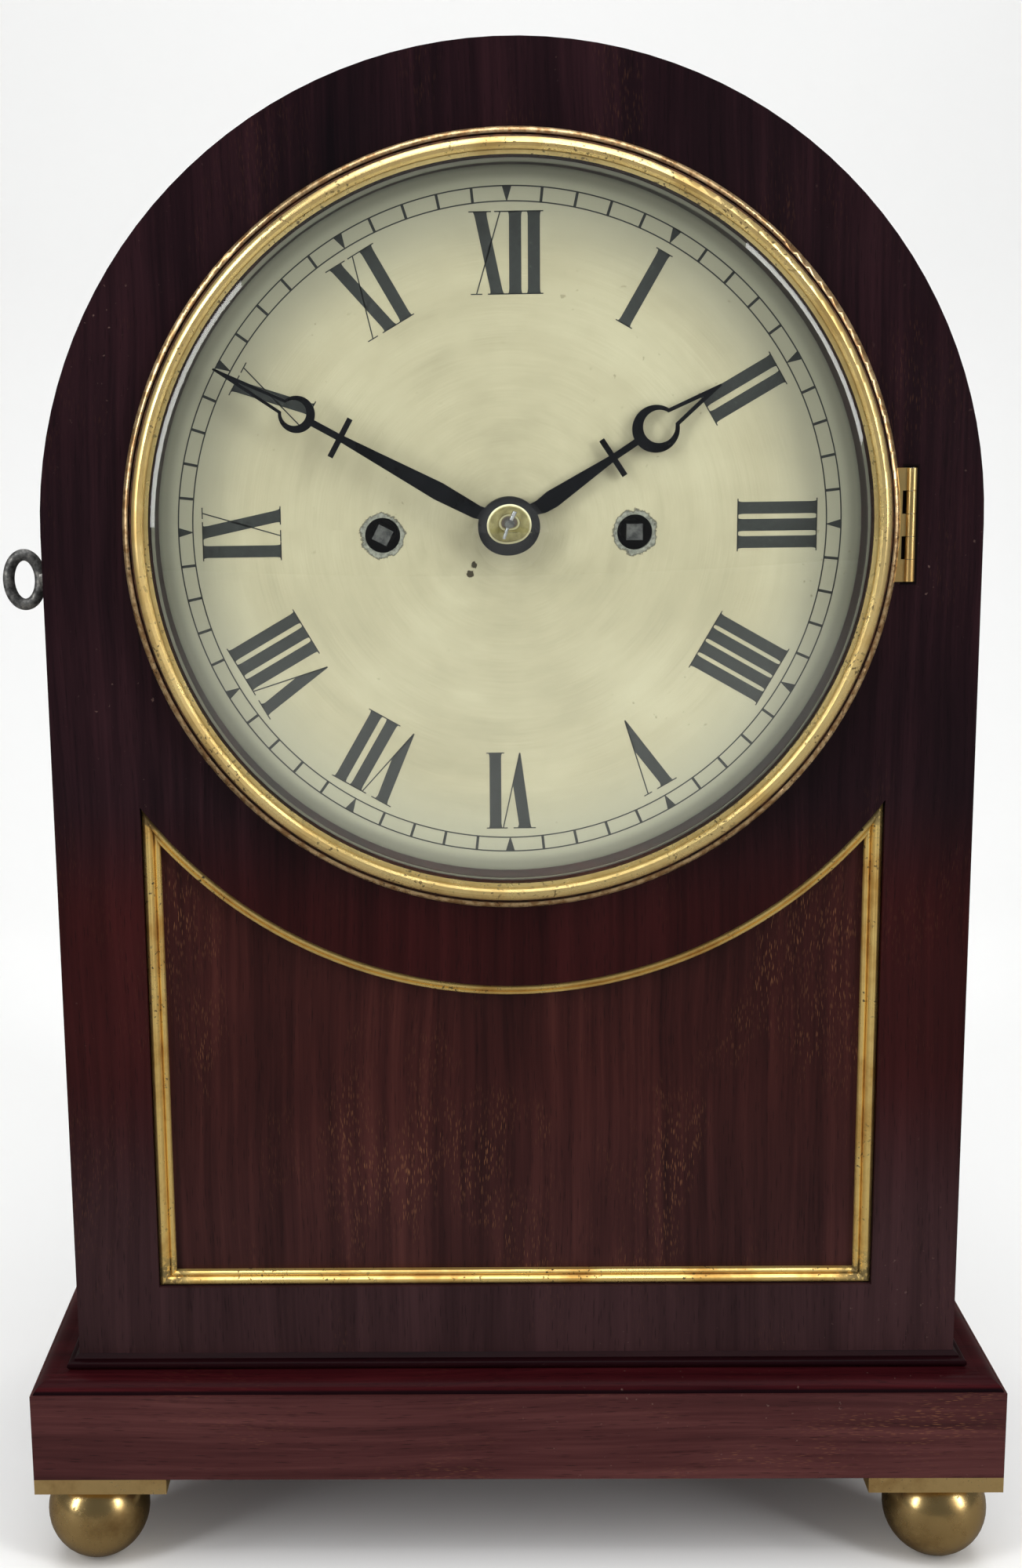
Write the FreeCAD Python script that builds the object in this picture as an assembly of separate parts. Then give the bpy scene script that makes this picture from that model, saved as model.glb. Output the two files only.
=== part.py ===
import FreeCAD, Part

import math
import os

# Arch-topped bracket clock with a twin fusee striking movement.  Millimetres.
# X runs to the right, Y runs from the front of the clock to the back, Z runs up.
# The origin lies on the ground, under the middle of the plinth.

# ---------------------------------------------------------------- driving sizes
# Case
CASE_HALF_WIDTH = 123.0
CASE_DEPTH = 150.0
DIAL_HEIGHT = 293.0
CASE_WALL = 12.0
FRONT_THICK = 9.0
BACK_THICK = 10.0
FLOOR_THICK = 10.0
FIT_GAP = 0.1
MOVING_GAP = 0.3
OVERCUT = 1.0

# Plinth and feet
PLINTH_PROJECTION = 12.1
PLINTH_HEIGHT = 25.2
PAD_SIZE = 37.2
PAD_THICK = 4.4
BALL_RADIUS = 14.5
BALL_SINK = 0.3
BALL_TOTAL = 26.0
BALL_INSET = 15.2

# Moulding round the foot of the case
MOULD_FOOT_PROJECTION = 11.4
MOULD_OVOLO_TOP = 3.0
MOULD_OVOLO_SLOPE = 5.6
MOULD_OVOLO_BULGE = 1.7
MOULD_QUIRK = 0.25
MOULD_BEAD_RADIUS = 1.05
MOULD_BEAD_PROJECTION = 2.1
MOULD_FILLET_PROJECTION = 1.3
MOULD_FILLET = 0.5
MOULD_HEIGHT = 6.9

# Sunk panel in the front
PANEL_HALF_WIDTH = 99.7
PANEL_BOTTOM = 82.2
PANEL_ARC_RADIUS = 123.5
PANEL_SINK = 4.0
PANEL_THICK = 5.0
STRIP_SIDE = 4.6
STRIP_BOTTOM = 3.7
STRIP_ARC = 2.9
STRIP_RISE = 3.2
BEAD_DROP = 0.26
GROOVE_DROP = 0.42
NARROW_DROP = 0.27

# Dial and hands
DIAL_RADIUS = 97.0
DIAL_THICK = 2.0
DIAL_OPENING = 93.0
DIAL_HOLE = 5.2
WINDING_HOLE = 4.7
WINDING_X = 33.5
WINDING_DROP = 1.5
WINDING_SQUARE = 4.3
LEFT_SQUARE_TURN = 27.0
HAND_THICK = 1.0
MINUTE_LENGTH = 87.5
MINUTE_RING_AT = 63.0
MINUTE_BAR_AT = 50.2
MINUTE_RING_RADIUS = 4.8
MINUTE_ANGLE = 299.0
HOUR_LENGTH = 66.5
HOUR_RING_AT = 46.3
HOUR_BAR_AT = 33.0
HOUR_RING_RADIUS = 6.2
HOUR_ANGLE = 56.6
HAND_BAR_HALF = 5.6
HAND_BAR_WIDE = 1.5
HAND_NECK_HALF = 0.9
HAND_BELLY_HALF = 2.4
HAND_HUB_RADIUS = 8.15
COLLET_RADIUS = 5.85
ARBOR_PROUD = 10.6

# Bezel
BEZEL_RADIUS = 101.15
BEZEL_SIGHT = 95.4
BEZEL_RISE = 6.0
GLASS_RADIUS = 97.2
GLASS_THICK = 1.7
GLASS_RABBET = 97.5
GLASS_DOME = 11.8
GLASS_BEVEL = 92.2
GLASS_BEVEL_RISE = 1.3
GLASS_STANDOFF = 1.1
FLANGE_WIDTH = 1.7
FLANGE_TALL = 2.0
GROOVE_FLOOR = 1.3
GROOVE_START = 2.0
BEAD_START = 2.6
BEAD_SHOULDER = 3.1
BEAD_TOP = 4.4

# Bezel hinge
HINGE_AXIS_X = 103.9
HINGE_AXIS_PROUD = 0.8
HINGE_KNUCKLE = 1.3
HINGE_PIN = 0.65
HINGE_HALF = 14.7
HINGE_KNUCKLES = 5
KNUCKLE_GAP = 0.12
PIN_GAP = 0.05
LEAF_THICK = 0.8
LEAF_INNER_X = 98.2

# Lock of the bezel and its key
KEY_DROP = 13.1
KEY_DEPTH = 22.0
KEY_WIRE = 1.6
KEY_BOW_X = 12.0
KEY_BOW_Z = 16.8
KEY_BOW_STANDOFF = 3.5
KEY_SHANK = 2.2
KEY_BIT = 7.2
KEY_BIT_THICK = 2.2
BOLT_TRAVEL = 3.0
BOLT_WIDE = 2.6
BOLT_FRONT = 11.8
STAPLE_X0 = -100.4
STAPLE_X1 = -98.4
STAPLE_TALL = 8.0
STAPLE_LONG = 16.6
STAPLE_RISE = 6.0
NOTCH_FRONT = BOLT_FRONT - 0.4
NOTCH_BACK = BOLT_FRONT + BOLT_WIDE + 0.4

# Back door
DOOR_OPENING = 92.0
DOOR_GAP = 0.5
DOOR_STILE = 14.0
DOOR_SILL = 20.0
DOOR_GLASS_THICK = 2.5
DOOR_KNUCKLE = 2.0
DOOR_PIN = 1.0
DOOR_HINGE_HALF = 14.0
DOOR_HINGE_HEIGHTS = (130.0, 270.0)
TURN_HEIGHT = 200.0
TURN_LENGTH = 18.0

# Movement frame
DIAL_FEET = 14.0
DIAL_FOOT_RADIUS = 2.5
DIAL_FOOT_X = 54.0
DIAL_FOOT_RISES = (52.0, -56.0)
PLATE_THICK = 2.5
PLATE_GAP = 58.0
PLATE_HALF_WIDTH = 70.0
PLATE_TOP = 74.0
PLATE_BOTTOM = -78.0
PILLAR_RADIUS = 4.0
SEAT_THICK = 10.0
SEAT_FRONT_MARGIN = 6.0
SEAT_BACK_MARGIN = 3.0
RAIL_WIDE = 13.0
RAIL_TALL = 15.0
PIVOT_GAP = 0.05
PIPE_GAP = 0.06
END_SHAKE = 0.3
COCK_HALF = 14.0
COCK_FOOT = 5.0
COCK_SPACE = 9.0
COCK_THICK = 3.0
CENTRE_ARBOR = 1.3
CANNON_OUTER = 2.5
HOUR_OUTER = 4.0

# Wheel work: teeth, and module where it is chosen freely
GREAT_TEETH = 96
CENTRE_LEAVES = 8
CENTRE_TEETH = 84
CENTRE_MODULE = 0.55
THIRD_LEAVES = 7
THIRD_TEETH = 77
THIRD_MODULE = 0.5
ESCAPE_LEAVES = 7
ESCAPE_TEETH = 30
ESCAPE_RADIUS = 14.0
THIRD_BEARING = 75.0
STRIKE_TEETH = 84
STRIKE_MODULE = 0.7
PIN_LEAVES = 8
PIN_TEETH = 64
PIN_MODULE = 0.5
PIN_COUNT = 8
PIN_CIRCLE = 13.0
PIN_BEARING = 100.0
GATHER_LEAVES = 8
GATHER_TEETH = 56
GATHER_MODULE = 0.45
GATHER_BEARING = 115.0
WARN_LEAVES = 7
WARN_TEETH = 48
WARN_MODULE = 0.4
WARN_BEARING = 30.0
FLY_LEAVES = 7
FLY_BEARING = -30.0
FLY_VANE = 7.5
CANNON_TEETH = 36
CANNON_MODULE = 0.5
MINUTE_LEAVES = 6
HOUR_TEETH = 72
WHEEL_THICK = 1.5
WHEEL_RIM = 1.8
SPOKE_HALF = 1.1
GREAT_THICK = 2.5
BARREL_RADIUS = 23.0
BARREL_X = 41.5
BARREL_DROP = 48.5
FUSEE_LARGE = 22.0
FUSEE_SMALL = 10.0
FUSEE_TURNS = 12
FUSEE_CURVE = 1.4
FUSEE_GROOVE = 0.7
BARREL_LENGTH = 28.0
LINE_RADIUS = 0.8

# Pendulum and bell
PENDULUM_LENGTH = 205.0
BOB_RADIUS = 26.0
BOB_THICK = 12.0
ROD_RADIUS = 1.6
BELL_RADIUS = 38.0
BELL_MOUTH = 78.0
BELL_CROWN = 98.0
BELL_WALL = 1.6

# ---------------------------------------------------------------- derived places
PLINTH_DEPTH = CASE_DEPTH + PLINTH_PROJECTION
PLINTH_HALF_WIDTH = CASE_HALF_WIDTH + PLINTH_PROJECTION
PLINTH_FRONT = -PLINTH_DEPTH / 2.0
PLINTH_BACK = PLINTH_DEPTH / 2.0
PAD_BOTTOM = BALL_TOTAL
PLINTH_BOTTOM = PAD_BOTTOM + PAD_THICK
CASE_BOTTOM = PLINTH_BOTTOM + PLINTH_HEIGHT
CASE_FRONT = PLINTH_FRONT + PLINTH_PROJECTION
CASE_BACK = PLINTH_BACK
INNER_HALF_WIDTH = CASE_HALF_WIDTH - CASE_WALL
FRONT_BACK = CASE_FRONT + FRONT_THICK
BACK_FACE = CASE_BACK - BACK_THICK
DIAL_BACK = FRONT_BACK + DIAL_THICK
PLATE_FRONT = DIAL_BACK + DIAL_FEET
TRAIN_FRONT = PLATE_FRONT + PLATE_THICK
TRAIN_BACK = TRAIN_FRONT + PLATE_GAP
PLATE_REAR = TRAIN_BACK + PLATE_THICK
SEAT_TOP = DIAL_HEIGHT + PLATE_BOTTOM
SQUARE_TIP = FRONT_BACK + 0.8
KEY_HEIGHT = DIAL_HEIGHT - KEY_DROP
KEY_Y = CASE_FRONT + KEY_DEPTH
STAPLE_LOW = KEY_HEIGHT + STAPLE_RISE
HINGE_AXIS_Y = CASE_FRONT - HINGE_AXIS_PROUD
DOOR_AXIS_X = DOOR_OPENING - DOOR_GAP / 2.0
DOOR_AXIS_Y = CASE_BACK + DOOR_KNUCKLE
PENDULUM_Y = PLATE_REAR + COCK_SPACE + COCK_THICK + 4.0
CANNON_BORE = CENTRE_ARBOR + PIPE_GAP
HOUR_BORE = CANNON_OUTER + PIPE_GAP

# Depths of the wheels behind the front plate
GREAT_LAYER = 4.0
CONE_LAYER = 8.0
CONE_LENGTH = 26.0
CENTRE_LAYER = 39.0
THIRD_LAYER = 28.0
ESCAPE_LAYER = 50.0
PIN_LAYER = 44.0
GATHER_LAYER = 30.0
WARN_LAYER = 16.0
HAMMER_LAYER = 36.0
BELL_Y = TRAIN_FRONT + HAMMER_LAYER + 1.5

# Depths of the motion work, counted forward from the front plate
CANNON_LAYER = 1.6
HOUR_LAYER = 5.6
HOUR_HAND_PROUD = 1.3
MINUTE_HAND_PROUD = 5.1

# Tooth shape, in modules
TOOTH_WIDTH = 1.2
TOOTH_HEIGHT = 0.9
LEAF_WIDTH = 0.9
LEAF_HEIGHT = 0.5
ROOT_CLEARANCE = 0.3
TIP_WIDTH = 0.45
SHOULDER = 0.62

V = FreeCAD.Vector
ALONG_X = V(1, 0, 0)
ALONG_Y = V(0, 1, 0)
ALONG_Z = V(0, 0, 1)
nodes = {}


# ---------------------------------------------------------------- shape helpers
def block(x0, x1, y0, y1, z0, z1):
    return Part.makeBox(x1 - x0, y1 - y0, z1 - z0, V(x0, y0, z0))


def rod_x(x0, x1, y, z, radius):
    return Part.makeCylinder(radius, x1 - x0, V(x0, y, z), ALONG_X)


def rod_y(x, z, y0, y1, radius):
    return Part.makeCylinder(radius, y1 - y0, V(x, y0, z), ALONG_Y)


def rod_z(x, y, z0, z1, radius):
    return Part.makeCylinder(radius, z1 - z0, V(x, y, z0), ALONG_Z)


def tube_y(x, z, y0, y1, outer, inner):
    hole = rod_y(x, z, y0 - 1.0, y1 + 1.0, inner)
    return rod_y(x, z, y0, y1, outer).cut(hole)


def slab_y(outline, y0, y1):
    """A flat piece whose outline is a list of (x, z), from depth y0 to depth y1."""
    points = [V(x, y0, z) for x, z in outline]
    face = Part.Face(Part.makePolygon(points + [points[0]]))
    return face.extrude(V(0, y1 - y0, 0))


def turned(profile, x, z):
    """A piece turned about the Y direction at (x, z), from a closed list of (radius, y)."""
    points = [V(x + radius, y, z) for radius, y in profile]
    face = Part.Face(Part.makePolygon(points + [points[0]]))
    return face.revolve(V(x, 0, z), ALONG_Y, 360.0)


def arch(half_width, bottom, y0, y1):
    """A slab with straight sides and a half-round top centred on the dial."""
    low_left = V(-half_width, y0, bottom)
    low_right = V(half_width, y0, bottom)
    spring_right = V(half_width, y0, DIAL_HEIGHT)
    spring_left = V(-half_width, y0, DIAL_HEIGHT)
    crown = V(0, y0, DIAL_HEIGHT + half_width)
    edges = [
        Part.makeLine(low_left, low_right),
        Part.makeLine(low_right, spring_right),
        Part.Arc(spring_right, crown, spring_left).toShape(),
        Part.makeLine(spring_left, low_left),
    ]
    return Part.Face(Part.Wire(edges)).extrude(V(0, y1 - y0, 0))


def about(shape, x, z, degrees):
    """Turns a shape about the Y direction at (x, z), clockwise as seen from the front."""
    turned_shape = shape.copy()
    turned_shape.rotate(V(x, 0, z), ALONG_Y, degrees)
    return turned_shape


def polar(x, z, distance, degrees):
    angle = math.radians(degrees)
    return x + distance * math.cos(angle), z + distance * math.sin(angle)


def bearing(start, end):
    return math.degrees(math.atan2(end[1] - start[1], end[0] - start[0]))


def fuse(*shapes):
    whole = shapes[0].fuse(list(shapes[1:]))
    return whole.removeSplitter()


def group(*shapes):
    return Part.makeCompound(list(shapes))


# ---------------------------------------------------------------- wheel helpers
def toothed(place, y0, y1, teeth, module, width, height, depth, first_tooth):
    """A toothed disc.  Width, height and depth of a tooth are in modules."""
    pitch_radius = teeth * module / 2.0
    tip = pitch_radius + height * module
    root = pitch_radius - depth * module
    shoulder = pitch_radius + SHOULDER * height * module
    tip_width = TIP_WIDTH * module
    shoulder_width = SHOULDER * width * module + (1.0 - SHOULDER) * tip_width
    side = (
        (root, width * module),
        (pitch_radius, width * module),
        (shoulder, shoulder_width),
        (tip, tip_width),
    )
    outline = []
    for tooth in range(teeth):
        middle = math.radians(first_tooth) + 2.0 * math.pi * tooth / teeth
        rising = [(radius, middle - wide / 2.0 / radius) for radius, wide in side]
        falling = [(radius, middle + wide / 2.0 / radius) for radius, wide in reversed(side)]
        for radius, angle in rising + falling:
            outline.append((place[0] + radius * math.cos(angle), place[1] + radius * math.sin(angle)))
    return slab_y(outline, y0, y1)


def wheel(place, y0, thick, teeth, module, first_tooth, hub, spokes=4):
    """A wheel with its rim, hub and spokes crossed out, as clock wheels are."""
    disc = toothed(
        place, y0, y0 + thick, teeth, module,
        TOOTH_WIDTH, TOOTH_HEIGHT, LEAF_HEIGHT + ROOT_CLEARANCE, first_tooth,
    )
    root = teeth * module / 2.0 - (LEAF_HEIGHT + ROOT_CLEARANCE) * module
    rim_inner = root - WHEEL_RIM
    if spokes and rim_inner > hub + 3.0:
        window = tube_y(place[0], place[1], y0 - 1.0, y0 + thick + 1.0, rim_inner, hub)
        for spoke in range(spokes):
            bar = block(
                place[0] - SPOKE_HALF, place[0] + SPOKE_HALF, y0 - 2.0, y0 + thick + 2.0,
                place[1], place[1] + rim_inner + 1.0,
            )
            window = window.cut(about(bar, place[0], place[1], 45.0 + 360.0 * spoke / spokes))
        disc = disc.cut(window)
    return disc


def pinion(place, y0, y1, leaves, module, toward_wheel):
    """A pinion whose space faces the wheel that it meshes with."""
    return toothed(
        place, y0, y1, leaves, module,
        LEAF_WIDTH, LEAF_HEIGHT, TOOTH_HEIGHT + ROOT_CLEARANCE, toward_wheel + 180.0 / leaves,
    )


def mesh_distance(teeth, leaves, module):
    return (teeth + leaves) * module / 2.0


# ---------------------------------------------------------------- arbor places
CENTRE = (0.0, DIAL_HEIGHT)
FUSEE_GOING = (WINDING_X, DIAL_HEIGHT - WINDING_DROP)
FUSEE_STRIKE = (-WINDING_X, DIAL_HEIGHT - WINDING_DROP)
BARREL_GOING = (BARREL_X, DIAL_HEIGHT - BARREL_DROP)
BARREL_STRIKE = (-BARREL_X, DIAL_HEIGHT - BARREL_DROP)
GREAT_MODULE = 2.0 * math.hypot(WINDING_X, WINDING_DROP) / (GREAT_TEETH + CENTRE_LEAVES)
THIRD = polar(*CENTRE, mesh_distance(CENTRE_TEETH, THIRD_LEAVES, CENTRE_MODULE), THIRD_BEARING)
ESCAPE_DISTANCE = mesh_distance(THIRD_TEETH, ESCAPE_LEAVES, THIRD_MODULE)
ESCAPE = (0.0, THIRD[1] + math.sqrt(ESCAPE_DISTANCE ** 2 - THIRD[0] ** 2))
PALLET = (0.0, ESCAPE[1] + ESCAPE_RADIUS * math.sqrt(2.0))
PIN_WHEEL = polar(*FUSEE_STRIKE, mesh_distance(STRIKE_TEETH, PIN_LEAVES, STRIKE_MODULE), PIN_BEARING)
GATHER = polar(*PIN_WHEEL, mesh_distance(PIN_TEETH, GATHER_LEAVES, PIN_MODULE), GATHER_BEARING)
WARN = polar(*GATHER, mesh_distance(GATHER_TEETH, WARN_LEAVES, GATHER_MODULE), WARN_BEARING)
FLY = polar(*WARN, mesh_distance(WARN_TEETH, FLY_LEAVES, WARN_MODULE), FLY_BEARING)
MOTION_DISTANCE = CANNON_TEETH * CANNON_MODULE
MINUTE_ARBOR = (0.0, DIAL_HEIGHT - MOTION_DISTANCE)
HOUR_MODULE = 2.0 * MOTION_DISTANCE / (HOUR_TEETH + MINUTE_LEAVES)
HAMMER_ARBOR = (-63.0, DIAL_HEIGHT + 30.0)

PIVOT = 1.0
FINE_PIVOT = 0.8
ARBOR = 1.6
FUSEE_ARBOR = 3.0
PLATE_HOLES = {
    "centre": (CENTRE, CENTRE_ARBOR),
    "third": (THIRD, PIVOT),
    "escape": (ESCAPE, PIVOT),
    "fusee_going": (FUSEE_GOING, FUSEE_ARBOR),
    "fusee_strike": (FUSEE_STRIKE, FUSEE_ARBOR),
    "barrel_going": (BARREL_GOING, FUSEE_ARBOR),
    "barrel_strike": (BARREL_STRIKE, FUSEE_ARBOR),
    "pin_wheel": (PIN_WHEEL, PIVOT),
    "gather": (GATHER, PIVOT),
    "warn": (WARN, PIVOT),
    "fly": (FLY, FINE_PIVOT),
    "hammer": (HAMMER_ARBOR, PIVOT),
    "pallet": (PALLET, PIVOT),
}
PILLARS = ((-62.0, 66.0), (62.0, 66.0), (-62.0, -70.0), (62.0, -70.0), (0.0, -58.0))


def arbor(place, radius, pivot_radius):
    """A steel arbor between the plates, with a pivot in each plate."""
    body = rod_y(place[0], place[1], TRAIN_FRONT + END_SHAKE, TRAIN_BACK - END_SHAKE, radius)
    pivots = rod_y(place[0], place[1], PLATE_FRONT, PLATE_REAR, pivot_radius)
    return body.fuse(pivots)


# ---------------------------------------------------------------- plinth and feet
def make_plinth():
    nodes["plinth"] = block(
        -PLINTH_HALF_WIDTH, PLINTH_HALF_WIDTH, PLINTH_FRONT, PLINTH_BACK, PLINTH_BOTTOM, CASE_BOTTOM
    )
    pads = []
    balls = []
    for side in (-1, 1):
        for end in (-1, 1):
            pad_x = side * (PLINTH_HALF_WIDTH - PAD_SIZE / 2.0)
            pad_y = end * (PLINTH_DEPTH / 2.0 - PAD_SIZE / 2.0)
            half = PAD_SIZE / 2.0
            pads.append(block(
                pad_x - half, pad_x + half, pad_y - half, pad_y + half, PAD_BOTTOM, PLINTH_BOTTOM
            ))
            ball_x = side * (PLINTH_HALF_WIDTH - BALL_INSET)
            ball_y = end * (PLINTH_DEPTH / 2.0 - BALL_INSET)
            ball = Part.makeSphere(BALL_RADIUS, V(ball_x, ball_y, BALL_RADIUS - BALL_SINK))
            reach = BALL_RADIUS + 1.0
            slice_box = block(
                ball_x - reach, ball_x + reach, ball_y - reach, ball_y + reach, 0.0, BALL_TOTAL
            )
            balls.append(ball.common(slice_box))
    nodes["foot_pads"] = group(*pads)
    nodes["ball_feet"] = group(*balls)


def moulding_profile():
    """Closed profile of the foot moulding as (projection, height above the plinth)."""
    bead_low = MOULD_OVOLO_TOP + MOULD_QUIRK
    bead_high = bead_low + 2.0 * MOULD_BEAD_RADIUS
    bead_middle = (bead_low + bead_high) / 2.0
    return {
        "heel": (0.0, 0.0),
        "toe": (MOULD_FOOT_PROJECTION, 0.0),
        "ovolo_mid": (MOULD_FOOT_PROJECTION - MOULD_OVOLO_BULGE, 0.72 * MOULD_OVOLO_TOP),
        "ovolo_top": (MOULD_FOOT_PROJECTION - MOULD_OVOLO_SLOPE, MOULD_OVOLO_TOP),
        "quirk": (MOULD_BEAD_PROJECTION, bead_low),
        "bead_mid": (MOULD_BEAD_PROJECTION + MOULD_BEAD_RADIUS, bead_middle),
        "bead_top": (MOULD_BEAD_PROJECTION, bead_high),
        "fillet_low": (MOULD_FILLET_PROJECTION, bead_high),
        "fillet_high": (MOULD_FILLET_PROJECTION, bead_high + MOULD_FILLET),
        "top": (0.0, MOULD_HEIGHT),
    }


def moulding_run(place_point, run):
    """One straight length of the foot moulding.  place_point turns a profile point into space."""
    p = {name: place_point(*point) for name, point in moulding_profile().items()}
    edges = [
        Part.makeLine(p["heel"], p["toe"]),
        Part.Arc(p["toe"], p["ovolo_mid"], p["ovolo_top"]).toShape(),
        Part.makeLine(p["ovolo_top"], p["quirk"]),
        Part.Arc(p["quirk"], p["bead_mid"], p["bead_top"]).toShape(),
        Part.makeLine(p["bead_top"], p["fillet_low"]),
        Part.makeLine(p["fillet_low"], p["fillet_high"]),
        Part.makeLine(p["fillet_high"], p["top"]),
        Part.makeLine(p["top"], p["heel"]),
    ]
    return Part.Face(Part.Wire(edges)).extrude(run)


def mitre_wedge(corners):
    points = [V(x, y, CASE_BOTTOM - 1.0) for x, y in corners]
    face = Part.Face(Part.makePolygon(points + [points[0]]))
    return face.extrude(V(0, 0, MOULD_HEIGHT + 2.0))


def make_plinth_moulding():
    reach = MOULD_FOOT_PROJECTION + 3.0
    half = CASE_HALF_WIDTH
    front = moulding_run(
        lambda p, z: V(-half - reach, CASE_FRONT - p, CASE_BOTTOM + z), V(2.0 * (half + reach), 0, 0)
    )
    front = front.common(mitre_wedge((
        (-half, CASE_FRONT), (-half - reach, CASE_FRONT - reach),
        (half + reach, CASE_FRONT - reach), (half, CASE_FRONT),
    )))
    pieces = [front]
    for side in (-1, 1):
        run = moulding_run(
            lambda p, z: V(side * (half + p), CASE_FRONT - reach, CASE_BOTTOM + z),
            V(0, CASE_BACK - CASE_FRONT + reach, 0),
        )
        pieces.append(run.common(mitre_wedge((
            (side * half, CASE_FRONT), (side * (half + reach), CASE_FRONT - reach),
            (side * (half + reach), CASE_BACK), (side * half, CASE_BACK),
        ))))
    nodes["plinth_moulding"] = group(*pieces)


# ---------------------------------------------------------------- case
def make_case():
    shell = arch(CASE_HALF_WIDTH, CASE_BOTTOM, FRONT_BACK, CASE_BACK)
    shell = shell.cut(arch(INNER_HALF_WIDTH, CASE_BOTTOM - 1.0, FRONT_BACK - 1.0, CASE_BACK + 1.0))
    keyhole = rod_x(-CASE_HALF_WIDTH - 1.0, -INNER_HALF_WIDTH + 1.0, KEY_Y, KEY_HEIGHT, KEY_SHANK + 0.4)
    bit_slot = block(
        -CASE_HALF_WIDTH - 1.0, -INNER_HALF_WIDTH + 1.0,
        KEY_Y - KEY_BIT_THICK / 2.0 - 0.3, KEY_Y + KEY_BIT_THICK / 2.0 + 0.3,
        KEY_HEIGHT - KEY_BIT - 0.4, KEY_HEIGHT,
    )
    nodes["case_shell"] = shell.cut(keyhole).cut(bit_slot)

    nodes["case_floor"] = block(
        -INNER_HALF_WIDTH + FIT_GAP, INNER_HALF_WIDTH - FIT_GAP,
        FRONT_BACK, BACK_FACE, CASE_BOTTOM, CASE_BOTTOM + FLOOR_THICK,
    )

    frame = arch(INNER_HALF_WIDTH - FIT_GAP, CASE_BOTTOM, BACK_FACE, CASE_BACK)
    nodes["back_frame"] = frame.cut(
        arch(DOOR_OPENING, CASE_BOTTOM + DOOR_SILL, BACK_FACE - 1.0, CASE_BACK + 1.0)
    )

    seat_y0 = PLATE_FRONT - SEAT_FRONT_MARGIN
    seat_y1 = PLATE_REAR + SEAT_BACK_MARGIN
    rails = []
    for side in (-1, 1):
        inner = side * (INNER_HALF_WIDTH - RAIL_WIDE)
        outer = side * INNER_HALF_WIDTH
        rails.append(block(
            min(inner, outer), max(inner, outer), seat_y0, seat_y1,
            SEAT_TOP - SEAT_THICK - RAIL_TALL, SEAT_TOP - SEAT_THICK,
        ))
    board = block(
        -INNER_HALF_WIDTH + FIT_GAP, INNER_HALF_WIDTH - FIT_GAP,
        seat_y0, seat_y1, SEAT_TOP - SEAT_THICK, SEAT_TOP,
    )
    nodes["seatboard"] = group(board, *rails)


def panel_outline(inset_side, inset_bottom, radius, y0, y1):
    """The sunk panel's shape: straight sides and foot, and a hollow top concentric with the dial."""
    half = PANEL_HALF_WIDTH - inset_side
    bottom = PANEL_BOTTOM + inset_bottom
    top = DIAL_HEIGHT - math.sqrt(radius ** 2 - half ** 2)
    low_left = V(-half, y0, bottom)
    low_right = V(half, y0, bottom)
    top_right = V(half, y0, top)
    top_left = V(-half, y0, top)
    edges = [
        Part.makeLine(low_left, low_right),
        Part.makeLine(low_right, top_right),
        Part.Arc(top_right, V(0, y0, DIAL_HEIGHT - radius), top_left).toShape(),
        Part.makeLine(top_left, low_left),
    ]
    return Part.Face(Part.Wire(edges)).extrude(V(0, y1 - y0, 0))


def make_front():
    board = arch(CASE_HALF_WIDTH, CASE_BOTTOM, CASE_FRONT, FRONT_BACK)
    board = board.cut(rod_y(0, DIAL_HEIGHT, CASE_FRONT - 1.0, FRONT_BACK + 1.0, DIAL_OPENING))
    board = board.cut(panel_outline(0.0, 0.0, PANEL_ARC_RADIUS, CASE_FRONT - 1.0, FRONT_BACK + 1.0))
    pocket_reach = HINGE_KNUCKLE + 0.25
    pocket_low = DIAL_HEIGHT - HINGE_HALF - MOVING_GAP
    pocket_high = DIAL_HEIGHT + HINGE_HALF + MOVING_GAP
    pocket = block(
        HINGE_AXIS_X - pocket_reach, HINGE_AXIS_X + pocket_reach,
        CASE_FRONT - OVERCUT, CASE_FRONT + 1.5, pocket_low, pocket_high,
    )
    leaf_slot = block(
        HINGE_AXIS_X + HINGE_KNUCKLE - LEAF_THICK - 0.05, HINGE_AXIS_X + pocket_reach,
        CASE_FRONT - OVERCUT, FRONT_BACK - 0.6, pocket_low, pocket_high,
    )
    staple_slot = block(
        STAPLE_X0 - MOVING_GAP, STAPLE_X1 + MOVING_GAP, CASE_FRONT - 1.0, FRONT_BACK + 1.0,
        STAPLE_LOW - MOVING_GAP, STAPLE_LOW + STAPLE_TALL + MOVING_GAP,
    )
    nodes["front_board"] = board.cut(pocket).cut(leaf_slot).cut(staple_slot)
    panel_front = CASE_FRONT + PANEL_SINK
    nodes["front_panel"] = panel_outline(
        FIT_GAP, FIT_GAP, PANEL_ARC_RADIUS + FIT_GAP, panel_front, panel_front + PANEL_THICK
    )


# ---------------------------------------------------------------- brass strips round the panel
def bead(start, end, crown, facets):
    """Points over a rounded bead, from start to end, both (across, height), with its crown between."""
    points = []
    for number in range(facets + 1):
        share = number / facets
        across = start[0] + (end[0] - start[0]) * share
        chord = start[1] + (end[1] - start[1]) * share
        sagitta = crown - (start[1] + end[1]) / 2.0
        points.append((across, chord + 4.0 * sagitta * share * (1.0 - share)))
    return points


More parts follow.
